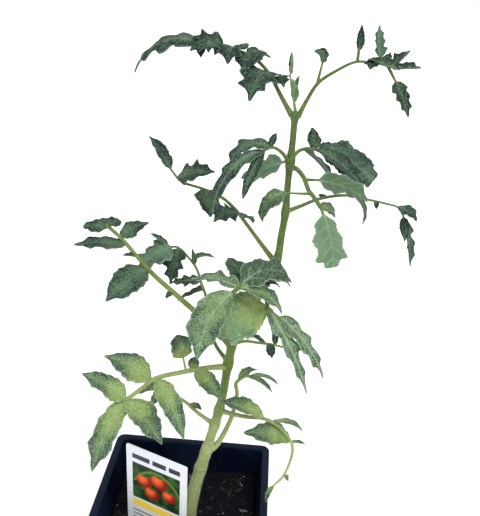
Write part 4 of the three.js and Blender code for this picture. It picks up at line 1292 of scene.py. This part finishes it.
# %% Label material
# all in millimetres across the plate from its middle, and up from the pot's foot
PRINT = (-15.5, 15.5)                                   # left and right edge of all that is printed
TITLE, PICTURE, BAND = (122.2, 125.4), (94.5, 119.5), (88.5, 93.0)      # lower and upper edges
TITLE_BARS = [(-15.5, -4.0), (-2.2, 6.6), (8.4, 15.5)]  # left and right edge of each
TOMATOES = [                                            # across, up and radius of each
    (-7.5, 108.5, 4.6), (2.2, 111.5, 4.9), (-2.6, 101.5, 4.3), (8.6, 104.2, 4.0)]
TRUSS, TRUSS_FOOT = (0.5, 96.0, 17.0, 21.0), (106.0, 107.0)     # centre and half sizes; lowest part
TEXT_LINES = [(84.4, 13.0), (81.6, 15.5), (78.8, 9.0)]  # lower edge and right end of each
TEXT_HIGH = 1.1
PLATE, PLATE_SHADE, TITLE_INK, TEXT_INK = (
    (0.66, 0.68, 0.71), (0.5, 0.52, 0.54), (0.03, 0.035, 0.05), (0.2, 0.22, 0.25))
LEAFY_DARK, LEAFY_PALE, TRUSS_GREEN, STAR_GREEN, YELLOW = (
    (0.006, 0.022, 0.008), (0.03, 0.095, 0.022), (0.1, 0.2, 0.03), (0.03, 0.12, 0.02), (0.85, 0.6, 0.06))
DEEP_RED, BRIGHT_RED = (0.22, 0.012, 0.004), (0.85, 0.12, 0.03)
PRINT_SOFT = 0.08                                       # softness of a printed edge


def label_paint():
    p = Paint("printed label", {"Specular IOR Level": 0.35})
    where = p.place()
    x, y, z = p.split(where)
    cos, sin = math.cos(LABEL_YAW), math.sin(LABEL_YAW)
    dx, dy = x / MM - LABEL_PLACE[0], y / MM - LABEL_PLACE[1]
    across, up = dx * cos + dy * sin, z / MM
    front = 1 - (dy * cos - dx * sin).rise(-0.1, 0.0)

    def bar(left, right, low, high):
        return across.within(left, right, PRINT_SOFT) * up.within(low, high, PRINT_SOFT)

    def ellipse(cx, cy, rx, ry):
        return (((across - cx) / rx) ** 2.0 + ((up - cy) / ry) ** 2.0) ** 0.5

    ink = p.noise(where, 2600.0, 1.0)
    colour = p.mix(ink * 0.05, PLATE, PLATE_SHADE)
    for left, right in TITLE_BARS:
        colour = p.mix(bar(left, right, *TITLE) * front, colour, TITLE_INK)
    panel = bar(*PRINT, *PICTURE) * front
    colour = p.mix(panel, colour, p.mix(p.noise(where, 170.0).rise(0.4, 0.62), LEAFY_DARK, LEAFY_PALE))
    arc = (1 - abs(ellipse(*TRUSS) - 1.0).rise(0.02, 0.05)) * up.rise(*TRUSS_FOOT)
    colour = p.mix(arc * panel, colour, TRUSS_GREEN)
    for cx, cy, radius in TOMATOES:
        fruit = 1 - ellipse(cx, cy, radius * 1.12, radius).rise(0.97, 1.03)
        glow = 1 - ellipse(cx - 0.3 * radius, cy + 0.3 * radius, radius, radius).rise(0.1, 1.2)
        colour = p.mix(fruit * panel, colour, p.mix(glow, DEEP_RED, BRIGHT_RED))
        star = 1 - ellipse(cx, cy + radius * 0.8, radius * 0.55, radius * 0.22).rise(0.8, 1.1)
        colour = p.mix(star * panel, colour, STAR_GREEN)
    colour = p.mix(bar(*PRINT, *BAND) * front, colour, YELLOW)
    for foot, right in TEXT_LINES:
        colour = p.mix(bar(PRINT[0], right, foot, foot + TEXT_HIGH) * front, colour, TEXT_INK)
    p.set("Base Color", colour)
    p.set("Roughness", 0.36 + ink * 0.12)
    p.bump(p.noise(where, 300.0, 1.0), 0.05, 0.0005)
    return p.material


label = bpy.data.objects["label"]
label.material_slots[0].material = label_paint()
print("label printed; its pieces keep the solid's", len(label.data.polygons), "faces")

# %% [markdown]
# ## Where the photograph was taken
#
# The plant stood against plain white. A large pale floor, an even white sky and a
# broad soft sun from the front right give the same bright light, with enough
# direction to shape the leaves, and leave every view free of distractions.

# %% Floor and light
SUN_FROM, SUN_ANGLE, SUN_POWER = (0.4, -0.75, 1.0), math.radians(40.0), 2.6
SKY_POWER, FLOOR_SIZE, FLOOR_COLOUR = 1.0, 60.0, (0.95, 0.95, 0.95, 1)


def make_stage():
    bpy.ops.mesh.primitive_plane_add(size=FLOOR_SIZE)
    floor = bpy.context.object
    floor.name = "floor"
    p = Paint("pale floor", {"Base Color": FLOOR_COLOUR, "Roughness": 0.85, "Specular IOR Level": 0.1})
    floor.data.materials.append(p.material)
    world = bpy.data.worlds.new("white sky")
    world.use_nodes = True
    world.node_tree.nodes["Background"].inputs["Color"].default_value = (1, 1, 1, 1)
    world.node_tree.nodes["Background"].inputs["Strength"].default_value = SKY_POWER
    bpy.context.scene.world = world


def make_sun():
    data = bpy.data.lights.new("soft sun", "SUN")
    data.energy, data.angle = SUN_POWER, SUN_ANGLE
    sun = bpy.data.objects.new("soft sun", data)
    bpy.context.scene.collection.objects.link(sun)
    sun.rotation_euler = Vector(SUN_FROM).to_track_quat("Z", "Y").to_euler()


make_stage()
make_sun()
bpy.context.scene.view_settings.view_transform = "Standard"
print("floor, sky and sun")
